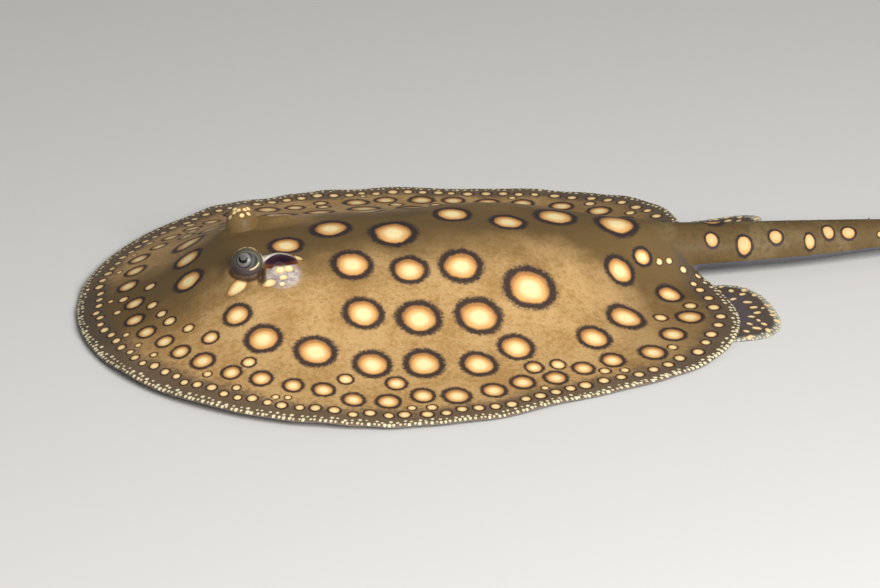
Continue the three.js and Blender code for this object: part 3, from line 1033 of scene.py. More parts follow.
class Recipe:
    """A material's nodes, written as plain expressions on wires."""

    def __init__(self, name: str) -> None:
        """Starts an empty material with a Principled shader."""
        self.material = bpy.data.materials.new(name)
        self.material.use_nodes = True
        self.tree = self.material.node_tree
        self.surface = self.tree.nodes["Principled BSDF"]

    def node(
        self, kind: str, settings: dict[str, object], inputs: dict[object, object],
        output: object = 0,
    ) -> "Wire":
        """Adds any node.

        Args:
            kind: Type of the node.
            settings: Its settings, or the stops of its ramp under "stops".
            inputs: Values or wires by the name or number of its socket.
            output: Name or number of the output to use.

        Returns:
            That output as a wire.
        """
        node = self.tree.nodes.new(kind)
        for name, value in settings.items():
            if name == "stops":
                self.set_stops(node.color_ramp, value)
            else:
                setattr(node, name, value)
        for key, value in inputs.items():
            if isinstance(value, Wire):
                self.tree.links.new(value.socket, node.inputs[key])
            else:
                node.inputs[key].default_value = value
        return Wire(self, node.outputs[output])

    def set_stops(
        self, ramp: bpy.types.ColorRamp, stops: tuple[tuple[float, tuple], ...]
    ) -> None:
        """Gives a colour ramp its stops, each a place and a colour.

        Args:
            ramp: The ramp.
            stops: Places from 0 to 1 with their colours.
        """
        while len(ramp.elements) > 1:
            ramp.elements.remove(ramp.elements[-1])
        for number, (place, colour) in enumerate(stops):
            element = ramp.elements[0] if number == 0 else ramp.elements.new(place)
            element.position = place
            element.color = colour

    def attribute(self, name: str) -> "Wire":
        """Reads a vector attribute of the mesh."""
        return self.node("ShaderNodeAttribute", {"attribute_name": name}, {}, "Vector")

    def place(self) -> "Wire":
        """Place on the piece, in metres."""
        return self.node("ShaderNodeTexCoord", {}, {}, "Object")

    def parts(self, vector: "Wire") -> tuple["Wire", "Wire", "Wire"]:
        """Splits a vector into its three numbers."""
        first = self.node("ShaderNodeSeparateXYZ", {}, {0: vector})
        outputs = first.socket.node.outputs
        return first, Wire(self, outputs[1]), Wire(self, outputs[2])

    def noise(
        self, vector: "Wire", scale: float, detail: float = 2, roughness: float = 0.5
    ) -> "Wire":
        """Soft noise from 0 to 1.

        Args:
            vector: Place that it follows.
            scale: Grains in each unit of that place.
            detail: Finer layers.
            roughness: Strength of those layers.

        Returns:
            The noise.
        """
        return self.node("ShaderNodeTexNoise", {}, {
            "Vector": vector, "Scale": scale, "Detail": detail, "Roughness": roughness,
        })

    def smooth(self, low: float, high: float, value: "Wire") -> "Wire":
        """Rises softly from 0 at low to 1 at high, or falls where low is the larger."""
        if low > high:
            return 1 - self.smooth(high, low, value)
        settings = {"interpolation_type": "SMOOTHSTEP"}
        return self.node("ShaderNodeMapRange", settings, {0: value, 1: low, 2: high})

    def mix(self, share: "Wire", first: object, second: object) -> "Wire":
        """Runs from the first colour to the second."""
        settings = {"data_type": "RGBA"}
        return self.node("ShaderNodeMix", settings, {0: share, 6: first, 7: second}, 2)

    def dot(self, vector: "Wire", direction: Vector) -> "Wire":
        """Length of a vector along a fixed direction."""
        settings = {"operation": "DOT_PRODUCT"}
        return self.node("ShaderNodeVectorMath", settings, {0: vector, 1: direction}, "Value")

    def shift(self, vector: "Wire", step: object, operation: str = "ADD") -> "Wire":
        """A vector plus, or otherwise combined with, another."""
        return self.node("ShaderNodeVectorMath", {"operation": operation}, {0: vector, 1: step})

    def feed(self, socket: str, value: object) -> None:
        """Sets an input of the surface, to a wire or to a value that is the same all over.

        Args:
            socket: Name of the input.
            value: The wire or the value.
        """
        if isinstance(value, Wire):
            self.tree.links.new(value.socket, self.surface.inputs[socket])
        else:
            self.surface.inputs[socket].default_value = value

    def bump(self, height: "Wire", distance: float, strength: float) -> None:
        """Gives the surface a relief.

        Args:
            height: The relief.
            distance: Height in metres that a rise of 1 stands for.
            strength: How strongly it shows.
        """
        self.feed("Normal", self.node("ShaderNodeBump", {}, {
            "Height": height, "Distance": distance, "Strength": strength,
        }))


@dataclass(frozen=True)
class Wire:
    """An output of a material's node that can stand in sums and products."""

    recipe: Recipe
    socket: bpy.types.NodeSocket

    def maths(self, operation: str, *values: object, clamp: bool = False) -> "Wire":
        """Adds a Math node.

        Args:
            operation: Its operation.
            *values: Its inputs in order.
            clamp: Whether its result is held between 0 and 1.

        Returns:
            Its result.
        """
        settings = {"operation": operation, "use_clamp": clamp}
        return self.recipe.node("ShaderNodeMath", settings, dict(enumerate(values)))

    def __add__(self, other: object) -> "Wire":
        """Sum."""
        return self.maths("ADD", self, other)

    __radd__ = __add__

    def __sub__(self, other: object) -> "Wire":
        """Difference."""
        return self.maths("SUBTRACT", self, other)

    def __rsub__(self, other: object) -> "Wire":
        """Difference from a plain value."""
        return self.maths("SUBTRACT", other, self)

    def __mul__(self, other: object) -> "Wire":
        """Product."""
        return self.maths("MULTIPLY", self, other)

    __rmul__ = __mul__

    def __truediv__(self, other: object) -> "Wire":
        """Quotient."""
        return self.maths("DIVIDE", self, other)

    def __rtruediv__(self, other: object) -> "Wire":
        """Quotient of a plain value."""
        return self.maths("DIVIDE", other, self)

    def __pow__(self, other: object) -> "Wire":
        """Power."""
        return self.maths("POWER", self, other)

    def root(self) -> "Wire":
        """Square root."""
        return self.maths("SQRT", self)

    def size(self) -> "Wire":
        """Itself without its sign."""
        return self.maths("ABSOLUTE", self)

    def low(self, other: object) -> "Wire":
        """The lower of two."""
        return self.maths("MINIMUM", self, other)

    def high(self, other: object) -> "Wire":
        """The higher of two."""
        return self.maths("MAXIMUM", self, other)

    def part(self) -> "Wire":
        """What is left after the whole number."""
        return self.maths("FRACT", self)

    def held(self) -> "Wire":
        """Itself, held between 0 and 1."""
        return self.maths("ADD", self, 0, clamp=True)


def paint(red: float, green: float, blue: float) -> tuple[float, float, float, float]:
    """A colour given from 0 to 255 as a screen shows it, in the shader's even scale."""
    return (*(
        c / 12.92 if c <= 0.04045 else ((c + 0.055) / 1.055) ** 2.4
        for c in (red / 255, green / 255, blue / 255)
    ), 1.0)


# ---------------------------------------------------------------- finishes


@dataclass(frozen=True)
class SkinFinish:
    """Tan skin with dark-ringed eyespots, a dark margin of pale dots and a pale belly; shade is
    painted in the crease at the tail's root, in the spiracles, in the grooves round the eyes and on
    the tail's underside, and a highlight on the left spiracle's lip.
    """

    tan: tuple = paint(188, 152, 101)
    gold: tuple = paint(162, 124, 73)
    straw: tuple = paint(208, 178, 122)
    freckle: tuple = paint(120, 84, 52)
    # Darker tone of the middle, snout and rear, and also the painted shade in the crease at the
    # tail's root.
    olive_and_crease_shade: tuple = paint(96, 76, 44)
    ring: tuple = paint(46, 37, 38)
    rust: tuple = paint(150, 98, 56)
    orange: tuple = paint(214, 162, 96)
    cream: tuple = paint(238, 218, 162)
    tail_cream: tuple = paint(206, 180, 130)
    band: tuple = paint(84, 72, 60)
    dot: tuple = paint(226, 215, 178)
    fin: tuple = paint(84, 75, 80)
    fin_edge: tuple = paint(150, 150, 142)
    tail: tuple = paint(82, 68, 46)
    tail_pale: tuple = paint(120, 102, 70)
    # Blue-grey band of the tail's side fold, darkened as painted shade.
    tail_side: tuple = paint(88, 98, 114)
    # The tail's underside, painted dark grey as shade over its paler skin.
    shaded_tail_underside: tuple = paint(100, 96, 102)
    belly: tuple = paint(226, 218, 208)
    belly_margin: tuple = paint(128, 118, 112)
    # Painted shade inside the spiracle, under its roof.
    hollow_shade: tuple = paint(44, 28, 38)
    hollow_floor: tuple = paint(112, 64, 38)
    # Pale painted highlight on the upper lip of the left spiracle.
    lip: tuple = paint(214, 206, 198)
    flap: tuple = paint(150, 136, 134)
    collar: tuple = paint(98, 96, 80)
    collar_dark: tuple = paint(54, 50, 48)
    # Dark brown painted shade in the grooves under the eye's mound and between the eye and the flap.
    groove: tuple = paint(58, 40, 24)
    gill: tuple = paint(126, 92, 92)
    lid_shade: tuple = paint(78, 65, 70)
    flap_pale: tuple = paint(196, 186, 176)
    gills: tuple[int, float, float, float, float] = (5, 12, 66, 33, 1.8)
    core: float = 0.66

    def make(self) -> bpy.types.Material:
        """Builds the material.

        Returns:
            The finished material.
        """
        r = Recipe("skin")
        place = r.place()
        fine = r.noise(place, 1100, 3, 0.6)
        grain = r.noise(place, 420, 3, 0.6)
        cloud = r.noise(place, 45, 3)
        belly, pelvic, tail = r.parts(r.attribute("zones"))
        _, inward, _ = r.parts(r.attribute("margin"))

        ground = self.ground(r, grain, fine, cloud, tail)
        # Darker tone on the middle, snout and rear, and painted shade in the crease at the tail's
        # root.
        ground = r.mix(self.shade(r, place, cloud), ground, self.olive_and_crease_shade)
        ground = r.mix(tail * r.smooth(0.5, 0.64, cloud) * 0.6, ground, self.tail_pale)
        ground = r.mix(tail * r.smooth(0.52, 0.6, grain) * 0.5, ground, self.tail)
        ground = r.mix(pelvic, ground, self.fin)
        near_edge = r.smooth(17, 8, inward + (cloud - 0.5) * 14 + (grain - 0.5) * 8)
        ground = r.mix(near_edge * 0.85, ground, self.band)
        ground = r.mix(pelvic * r.smooth(4.5, 1.5, inward) * 0.8, ground, self.fin_edge)
        ground = self.face_ground(r, ground, grain)
        colour, ring = self.eyespots(r, ground, place, tail)
        bare = (1 - tail) * (1 - belly)
        for pitch, depth, size in ((2.3, 0.7, 0.8), (3.3, 2.6, 0.8)):
            dots = self.dot_row(r, pitch, depth, size) * bare * (1 - ring * 0.6)
            colour = r.mix(dots.held(), colour, self.dot)
        # The tail's underside and its side band, darkened as painted shade.
        side = r.mix(r.smooth(0.45, 0.75, belly), self.tail_side, self.shaded_tail_underside)
        colour = r.mix(tail * r.smooth(0.1, 0.3, belly) * 0.9, colour, side)
        under = r.mix(r.smooth(16, 4, inward + (cloud - 0.5) * 8), self.belly, self.belly_margin)
        under = r.mix(self.gill_slits(r, place), under, self.gill)
        colour = r.mix(belly * (1 - tail), colour, under)
        colour, damp = self.face(r, colour, grain)
        r.feed("Base Color", colour)
        r.feed("Roughness", 0.48 + 0.16 * grain + tail * 0.12 - damp * 0.2)
        r.feed("Specular IOR Level", 0.2)
        r.feed("Coat Weight", 0.04)
        r.feed("Coat Roughness", 0.25)
        r.bump(fine * 0.4 + grain, 0.0005, 0.35)
        return r.material

    def ground(self, r: Recipe, grain: Wire, fine: Wire, cloud: Wire, tail: Wire) -> Wire:
        """Mottled ground between the spots.

        Args:
            r: The recipe.
            grain: Noise of about 2 mm.
            fine: Noise of about 1 mm.
            cloud: Noise of about 20 mm.
            tail: Share of the tail.

        Returns:
            Its colour.
        """
        colour = r.mix(r.smooth(0.3, 0.7, cloud + (grain - 0.5) * 0.9), self.gold, self.tan)
        colour = r.mix(r.smooth(0.5, 0.8, fine + (grain - 0.5) * 0.5) * 0.55, colour, self.straw)
        colour = r.mix(r.smooth(0.56, 0.72, grain) * 0.5, colour, self.freckle)
        shade = r.mix(r.smooth(0.35, 0.65, grain), self.tail_pale, self.tail)
        return r.mix(tail * 0.9, colour, shade)

    def shade(self, r: Recipe, place: Wire, cloud: Wire) -> Wire:
        """Share of the darker tone on the middle, the snout and the rear, and of painted shade in the
        crease at the tail's root.

        Args:
            r: The recipe.
            place: Place on the piece.
            cloud: Noise of about 20 mm.

        Returns:
            The share.
        """
        x, y, _ = r.parts(place)
        crease, _, _ = r.parts(r.attribute("crease"))
        drift = (cloud - 0.5) * 0.03
        middle = r.smooth(0.05, 0.004, y.size() + drift)
        snout = r.smooth(0.105, 0.14, x + drift) * 0.3
        rear = r.smooth(-0.06, -0.12, x + drift) * 0.8
        # The crease at the tail's root takes painted shade.
        return (middle + snout.high(rear) * 0.8).low(0.95).high(crease)

    def eyespots(self, r: Recipe, ground: Wire, place: Wire, tail: Wire) -> tuple[Wire, Wire]:
        """Eyespots over the ground.

        Args:
            r: The recipe.
            ground: Colour between the spots.
            place: Place on the piece.
            tail: Share of the tail.

        Returns:
            The colour with the spots, and the share of the rings.
        """
        u, v, kind = r.parts(r.attribute("spot"))
        fringe = r.noise(place, 800, 2)
        drift = r.noise(place, 150, 1)
        full = 1 - r.smooth(0.65, 0.95, kind) * 0.8
        reach = (u * u + v * v).root() + (drift - 0.5) * 0.16
        ring = r.smooth(1.06, 0.84, reach + (fringe - 0.5) * 0.3) * full
        colour = r.mix(ring * 0.94, ground, self.ring)
        edge = reach + (fringe - 0.5) * 0.1
        core = r.smooth(self.core + 0.06, self.core - 0.06, edge)
        glow = r.smooth(self.core, 0.05, reach - v * 0.14)
        warm = r.mix(r.smooth(-0.1, 0.2, glow + kind * 0.2), self.rust, self.orange)
        pale = r.mix(tail, self.cream, self.tail_cream)
        heart = r.mix(r.smooth(0.12, 0.88, glow + kind * 0.3), warm, pale)
        return r.mix(core, colour, heart), ring

    def dot_row(self, r: Recipe, pitch: float, depth: float, size: float) -> Wire:
        """One row of dots along the margin.

        Args:
            r: The recipe.
            pitch: Millimetres from dot to dot.
            depth: Their distance from the margin.
            size: Their half width.

        Returns:
            Share of the dots.
        """
        arc, inward, _ = r.parts(r.attribute("margin"))
        step = arc / pitch
        chance = r.node("ShaderNodeTexWhiteNoise", {"noise_dimensions": "1D"}, {
            "W": step - step.part() + depth,
        }, "Color")
        aside, deeper, larger = r.parts(chance)
        along = (step.part() - 0.5 - (aside - 0.5) * 0.5) * pitch
        inside = inward - depth - (deeper - 0.5) * depth * 0.6
        reach = (along * along + inside * inside).root()
        half = (larger * 0.5 + 0.6) * size
        return r.smooth(0.2, -0.25, reach - half)

    def gill_slits(self, r: Recipe, place: Wire) -> Wire:
        """Share of the five gill slits on each side of the belly.

        Args:
            r: The recipe.
            place: Place on the piece.

        Returns:
            The share.
        """
        x, y, _ = r.parts(place)
        count, pitch, first, aside, drift = self.gills
        step = (first + pitch / 2 - x / MM) / pitch
        number = step - step.part()
        along = (step.part() - 0.5).size() * pitch
        across = (y.size() / MM - aside + number * drift).size()
        inside = r.smooth(-0.1, 0, step) * r.smooth(count + 0.1, count, step)
        line = r.smooth(1.0, 0.4, along + across * across * 0.03)
        return line * r.smooth(4.4, 3.2, across) * inside

    def face_ground(self, r: Recipe, ground: Wire, grain: Wire) -> Wire:
        """Greys the flap under the spiracle.

        Args:
            r: The recipe.
            ground: Colour so far.
            grain: Noise of about 2 mm.

        Returns:
            The colour with the greys.
        """
        ahead, up, near = r.parts(r.attribute("spiracle"))
        wide = (ahead - 0.8) / 8.2
        high = (up + 5.5) / 7
        patch = r.smooth(1.15, 0.7, (wide * wide + high * high).root() + (grain - 0.5) * 0.4) * near
        tone = r.mix(r.smooth(0.35, 0.65, grain), self.flap, self.flap_pale)
        _, y, _ = r.parts(r.place())
        return r.mix(patch * (0.3 + 0.55 * r.smooth(-0.01, 0.01, y)), ground, tone)

    def face(self, r: Recipe, colour: Wire, grain: Wire) -> tuple[Wire, Wire]:
        """Spiracle and lids, with a painted highlight on the left lip and painted shade in the
        spiracle's mouth and in the grooves round the eye.

        Args:
            r: The recipe.
            colour: Colour so far.
            grain: Noise of about 2 mm.

        Returns:
            The colour with them, and how damp the surface is.
        """
        ahead, up, near = r.parts(r.attribute("spiracle"))
        height = up - ahead * HEAD.spiracle_tilt
        power = HEAD.spiracle_power
        length = (ahead - HEAD.spiracle_middle).size() / HEAD.spiracle_half_length
        fall = HEAD.spiracle_fall + HEAD.spiracle_corner * r.smooth(3, 8, ahead)
        arch = height.high(0) / HEAD.spiracle_rise - height.low(0) / fall
        ring = (length**power + arch**power) ** (1 / power)
        _, y, _ = r.parts(r.place())
        # Painted highlight: a pale patch on the spiracle's upper lip, on the left side only.
        lip = r.smooth(1.3, 1.1, ring - r.smooth(0, 5, ahead) * 0.5) * r.smooth(0.4, 2.5, up)
        lip = lip * r.smooth(-7, 1, ahead) * near * r.smooth(-0.01, 0.01, y)
        colour = r.mix(lip * 0.75, colour, self.lip)
        # Painted shade: the upper part of the spiracle's mouth is dark under its roof, and the lower
        # part shows its red-brown lining.
        floor = r.mix(r.smooth(1.8, -0.4, up), self.hollow_shade, self.hollow_floor)
        hollow_shade = r.smooth(1.12, 1.0, ring + (grain - 0.5) * 0.1) * near
        colour = r.mix(hollow_shade, colour, floor)
        # Painted shade in the dark groove between the eye and the flap under the spiracle.
        aside = (ahead - HEAD.groove_ahead - up * HEAD.groove_slant).size()
        wedge_shade = r.smooth(3.4, 1.2, aside - up * 0.12 + (grain - 0.5)) * r.smooth(-9, -6.5, up)
        colour = r.mix(wedge_shade * r.smooth(1, -1.5, up) * near * 0.9, colour, self.groove)

        outside, toward_front, toward_top = r.parts(r.attribute("lids"))
        high = r.smooth(0.2, 0.7, toward_top)
        collar = r.smooth(46, 36, outside + high * 14 + (grain - 0.5) * 6)
        rings = ((outside / 11 + grain * 0.35).part() - 0.5).size() * 2
        tone = r.mix(r.smooth(0.25, 0.75, rings) * 0.6, self.collar, self.collar_dark)
        tone = r.mix(r.smooth(-0.2, -0.55, toward_top) * 0.75, tone, self.lid_shade)
        colour = r.mix(collar, colour, tone)
        streak = r.smooth(10, 6, outside) * r.smooth(0.5, 2.5, outside)
        streak = streak * r.smooth(0, -0.2, toward_top) * r.smooth(-0.8, -0.65, toward_top)
        colour = r.mix(streak * r.smooth(-0.2, -0.42, toward_front) * 0.85, colour, self.cream)
        # Painted shade in the groove under the eye's mound.
        below = r.smooth(36, 48, outside) * r.smooth(82, 60, outside)
        below = below * r.smooth(-0.3, -0.62, toward_top - toward_front * 0.1)
        colour = r.mix(below * 0.9, colour, self.groove)
        return colour, (collar * 0.6).held()


@dataclass(frozen=True)
class EyeFinish:
    """Grey iris in rings, with a black pupil that a flap from above makes a crescent."""

    pupil: tuple = paint(8, 8, 10)
    white: tuple = paint(58, 60, 52)
    # Colours of the iris by millimetres from its middle.
    rings: tuple[tuple[float, tuple], ...] = (
        (0, paint(96, 93, 92)), (2.3, paint(104, 101, 100)), (2.7, paint(122, 118, 116)),
        (3.2, paint(108, 105, 102)), (3.5, paint(46, 44, 48)), (3.8, paint(48, 46, 48)),
        (4.1, paint(82, 81, 76)), (4.7, paint(78, 78, 72)), (5, paint(50, 52, 46)),
    )
    pupil_half_width: float = 2.15
    pupil_half_height: float = 1.9
    pupil_rise: float = 0.25
    flap_radius: float = 1.4
    flap_rise: float = 1.0
    arms_end: float = 1.0

    def make(self, name: str, centre: Vector, gaze: Vector) -> bpy.types.Material:
        """Builds the material of one eye.

        Args:
            name: Name of the material.
            centre: Centre of the eyeball, in metres.
            gaze: Direction that it looks in.

        Returns:
            The finished material.
        """
        r = Recipe(name)
        side = gaze.cross(Vector((0, 0, 1))).normalized()
        up = side.cross(gaze)
        place = r.place()
        offset = r.shift(place, centre, "SUBTRACT")
        across = r.dot(offset, side) / MM
        rise = r.dot(offset, up) / MM
        front = r.smooth(0, 0.001, r.dot(offset, gaze))
        radius = (across * across + rise * rise).root()
        grain = r.noise(place, 900, 3)
        outer = rise - self.pupil_rise
        wide, high = self.pupil_half_width**2, self.pupil_half_height**2
        edge = across * across / wide + outer * outer / high
        flap_rise = rise - self.flap_rise
        flap = (across * across + flap_rise * flap_rise).root()
        hole = r.smooth(1.12, 0.92, edge.root())
        hole = hole * r.smooth(self.arms_end + 0.3, self.arms_end, rise)
        hole = hole * r.smooth(self.flap_radius - 0.1, self.flap_radius + 0.2, flap)
        last = self.rings[-1][0]
        stops = tuple((place / last, colour) for place, colour in self.rings)
        iris = r.node("ShaderNodeValToRGB", {"stops": stops}, {0: (radius + grain * 0.3) / last})
        iris = r.mix(r.smooth(0.45, 0.7, grain) * 0.3, iris, self.white)
        ball = r.mix(1 - front, iris, self.white)
        r.feed("Base Color", r.mix(hole * front, ball, self.pupil))
        r.feed("Roughness", 0.35)
        r.feed("Specular IOR Level", 0.3)
        r.feed("Coat Weight", 0.12)
        r.feed("Coat Roughness", 0.05)
        return r.material


@dataclass(frozen=True)
class StingFinish:
    """Bone-like sting with darker streaks along its length, and darker towards its root."""

    bone: tuple = paint(216, 203, 168)
    root: tuple = paint(150, 128, 92)

    def make(self) -> bpy.types.Material:
        """Builds the material.

        Returns:
            The finished material.
        """
        r = Recipe("sting")
        place = r.place()
        stretched = r.shift(place, (1, 6, 6), "MULTIPLY")
        streak = r.noise(stretched, 240, 3)
        x, _, _ = r.parts(place)
        near_root = r.smooth(-0.27, -0.24, x)
        colour = r.mix(r.smooth(0.4, 0.7, streak) * 0.45 + near_root * 0.4, self.bone, self.root)
        r.feed("Base Color", colour)
        r.feed("Roughness", 0.35 + 0.15 * streak)
        r.feed("Coat Weight", 0.2)
        r.bump(streak, 0.0002, 0.4)
        return r.material


# ---------------------------------------------------------------- pieces


class Region(Enum):
    """Parts of the skin, by the number of the material slot that their faces carry."""

    DISC = 0
    TAIL = 1
    PELVIC_LEFT = 2
    PELVIC_RIGHT = 3


@dataclass
class Skin:
    """The whole skin as one closed mesh: disc, head, pelvic fins and tail."""

    spokes: int = 360
    back_rings: int = 70
    rim_rings: int = 6
    belly_rings: int = 32
    tail_sides: int = 64
    tail_rings: int = 130
    fin_spokes: int = 96
    fin_rings: int = 26
    head_box: tuple[float, float, float, float] = (38, 92, 8, 40)
    spiracle_box: tuple[float, float, float, float] = (46, 68, 19, 36)
    mouth_box: tuple[float, float, float, float] = (82, 108, 0, 18)
    relax_rounds: int = 14
    bulge_spokes: int = 100
    bulge_rings: int = 74
    lid_crease: float = 0.1
    flap_rise: float = 1.5

    def build(self) -> bpy.types.Object:
        """Models the skin and gives it its markings.

        Returns:
            The finished piece.
        """
        piece = self.disc()
        self.head_relief(piece)
        self.underside_relief(piece)
        for hand in HANDS.values():
            unite(piece, self.eye_bulge(hand))
        self.blend_bulge(piece)
        for region, hand in ((Region.PELVIC_LEFT, 1), (Region.PELVIC_RIGHT, -1)):
            unite(piece, self.pelvic_fin(region, hand))
        unite(piece, self.tail())
        self.blend_tail_root(piece)
        set_points(piece, points_of(piece) * MM)
        self.mark(piece)
        activate(piece)
        bpy.ops.object.shade_smooth()
        return piece

    def tag(self, piece: bpy.types.Object, region: Region) -> None:
        """Gives all faces of a piece the slot number of a region."""
        for _ in Region:
            piece.data.materials.append(None)
        numbers = np.full(len(piece.data.polygons), region.value, np.int32)
        piece.data.polygons.foreach_set("material_index", numbers)

    def disc(self) -> bpy.types.Object:
        """Shapes a ball into the disc, its rings from the back over the margin to the belly.

        Returns:
            The disc, in millimetres.
        """
        rings = self.back_rings + self.rim_rings + self.belly_rings
        piece = ball("skin", self.spokes, rings)
        start = points_of(piece)
        ring = np.round(np.arccos(np.clip(start[:, 2], -1, 1)) / np.pi * rings)
        angle = np.arctan2(start[:, 1], start[:, 0])
        bearing = np.degrees(angle)
        reach = DISC.reach.at(np.abs(bearing))
        round_off = DISC.margin_half_thickness
        rim = np.clip((ring - self.back_rings) / self.rim_rings, 0, 1)
        on_back = np.minimum(ring / self.back_rings, 1)
        on_belly = np.minimum((rings - ring) / self.belly_rings, 1)
        share = np.where(ring <= self.back_rings, on_back, np.where(rim < 1, 1, on_belly))
        distance = share * (reach - round_off) + np.sin(rim * np.pi) * round_off
        x, y = distance * np.cos(angle), distance * np.sin(angle)
        edge = DISC.margin_height + DISC.wave(bearing, np.ones_like(bearing))
        z = np.where(
            ring <= self.back_rings, DISC.back(x, y),
            np.where(rim < 1, edge + round_off * np.cos(rim * np.pi),
                     DISC.belly(bearing, distance / reach)),
        )
        set_points(piece, np.stack([x, y, z], 1))
        self.tag(piece, Region.DISC)
        for _ in range(2):
            self.refine_box(piece, self.head_box, above=True)
            self.refine_box(piece, self.mouth_box, above=False)
        self.refine_box(piece, self.spiracle_box, above=True)
        return piece

    def refine_box(
        self, piece: bpy.types.Object, box: tuple[float, float, float, float], above: bool
    ) -> None:
        """Subdivides the faces over or under a plan box and its mirror image.

        Args:
            piece: The disc.
            box: Lowest and highest X, then lowest and highest distance from the midline.
            above: Whether the back is meant, or else the belly.
        """
        centres = face_centres(piece)
        x, y = centres[:, 0], np.abs(centres[:, 1])
        inside = (x > box[0]) & (x < box[1]) & (y > box[2]) & (y < box[3])
        refine(piece, inside & ((centres[:, 2] > 4) == above))

    def head_field(self, points: np.ndarray, hand: int) -> np.ndarray:
        """Rough distance outside the head's surface with its swellings.

        Args:
            points: Places in the body's frame.
            hand: Side whose swellings count.

        Returns:
            Positive outside, 0 on the surface.
        """
        local = HEAD.to_head(points, hand)
        field = (points[:, 2] - DISC.back(points[:, 0], points[:, 1])) * 0.9
        for centre, size in (
            (HEAD.spiracle_mound, HEAD.spiracle_mound_size), (HEAD.shoulder, HEAD.shoulder_size),
        ):
            scaled = (local - np.array(centre)) / np.array(size)
            level = np.linalg.norm(scaled, axis=1)
            slope = np.linalg.norm(scaled / np.array(size), axis=1)
            field = blend_low(field, level * (level - 1) / np.maximum(slope, 1e-6), 4)
        return field

    def settle(self, points: np.ndarray, hand: int) -> np.ndarray:
        """Moves places onto the head's surface along its slope.

        Args:
            points: Places near the surface.
            hand: Side whose swellings count.

        Returns:
            Places on it.
        """
        step = 0.05
        for _ in range(3):
            level = self.head_field(points, hand)
            slope = np.stack([
                (self.head_field(points + step * axis, hand) - level) / step
                for axis in np.eye(3)
            ], 1)
            size = np.maximum((slope**2).sum(1), 0.2)
            points = points - slope * (level / size)[:, None] * 0.9
        return points

    def head_relief(self, piece: bpy.types.Object) -> None:
        """Raises the swellings round eyes and spiracles, and opens the spiracles.

        Args:
            piece: The disc.
        """
        points = points_of(piece)
        edges = edges_of(piece)
        low_x, high_x, low_y, high_y = self.head_box
        for hand in HANDS.values():
            x, y = points[:, 0], hand * points[:, 1]
            inside = (x > low_x + 2) & (x < high_x - 2) & (y > low_y + 2) & (y < high_y - 2)
            chosen = np.flatnonzero(inside & (points[:, 2] > 4))
            number = np.full(len(points), -1)
            number[chosen] = np.arange(len(chosen))
            own = edges[(number[edges] >= 0).all(1)]
            rim = np.unique(number[edges[(number[edges] >= 0).sum(1) == 1]])
            held = np.zeros(len(chosen), bool)
            held[rim[rim >= 0]] = True
            patch = points[chosen]
            patch[:, 2] = DISC.back(patch[:, 0], patch[:, 1])
            for _ in range(self.relax_rounds):
                pulled = patch + 0.5 * (neighbour_mean(patch, number[own]) - patch)
                patch = np.where(held[:, None], patch, self.settle(pulled, hand))
            points[chosen] = self.open_spiracle(patch, hand)
        set_points(piece, points)

    def open_spiracle(self, points: np.ndarray, hand: int) -> np.ndarray:
        """Sinks the spiracle's mouth, raises lip and flap, and sinks a groove before them.

        Args:
            points: Places of the head's surface.
            hand: Side of the spiracle.

        Returns:
            The moved places.
        """
        local = HEAD.to_head(points, hand)
        out = HEAD.axes(HEAD.spiracle_facing)[2]
        ahead, up, _ = HEAD.spiracle_place(local).T
        ring = HEAD.spiracle_ring(ahead, up)
        sink = HEAD.spiracle_depth * smooth(1.08, 0.3, ring)
        lip = 1.1 * hump(ring, 1.22, 0.32) * smooth(-1, 2, up)
        outside = smooth(1.05, 1.25, ring)
        cushion = smooth(1.15, 0.45, np.hypot((ahead - 0.5) / 8.5, (up + 5.5) / 6.5))
        flap = self.flap_rise * outside * smooth(0.6, -0.6, up) * cushion
        middle = HEAD.groove_ahead + HEAD.groove_slant * up
        groove = 1.6 * hump(ahead, middle, 2.6) * smooth(-9.5, -7, up) * smooth(2, 0, up)
        moved = local + np.outer(lip + flap - sink - groove, out)
        return HEAD.from_head(moved, hand)

    def eye_bulge(self, hand: int) -> bpy.types.Object:
        """Shapes a ball into the mound of one eye, with lids that leave the eyeball free.

        Args:
            hand: Side of the eye.

        Returns:
            The mound, in millimetres.
        """
        piece = ball("eye_bulge", self.bulge_spokes, self.bulge_rings)
        direction = points_of(piece) @ HEAD.axes(HEAD.lid_axis)
        direction /= np.linalg.norm(direction, axis=1)[:, None]
        outside = HEAD.lids(HEAD.eye_centre + direction)[0]
        radius = HEAD.eye_radius
        top = HEAD.lids(HEAD.eye_centre + direction)[1][:, 1]
        lid = radius + HEAD.lid_thickness + 0.5 * smooth(2, 26, outside) * smooth(1, 0.3, top)
        lid += self.lid_crease * np.cos(outside / 11 * 2 * np.pi) * smooth(45, 20, outside)
        mound = HEAD.mound_distance(direction)
        skin = -blend_low(-lid, -mound, 1.2)
        hidden = radius - 1.3
        distance = hidden + (skin - hidden) * smooth(-6, 1.5, outside)
        local = HEAD.eye_centre + direction * distance[:, None]
        set_points(piece, HEAD.from_head(local, hand))
        self.tag(piece, Region.DISC)
        outward_normals(piece)
        return piece

    def blend_bulge(self, piece: bpy.types.Object) -> None:
        """Smooths the skin where the eyes' mounds rise from the head.

        Args:
            piece: The joined skin, in millimetres.
        """
        points = points_of(piece)
        near = np.zeros(len(points), bool)
        for hand in HANDS.values():
            local = HEAD.to_head(points, hand)
            outside, direction, distance = HEAD.lids(local)
            mound = HEAD.mound_distance((local - HEAD.eye_centre) / distance[:, None])
            ahead, up, _ = HEAD.spiracle_place(local).T
            clear = (HEAD.spiracle_ring(ahead, up) > 1.35) & (direction[:, 1] > -0.8)
            near |= (outside > 34) & (np.abs(distance - mound) < 2.6) & (points[:, 2] > 20) & clear
        soften(piece, near, 16)

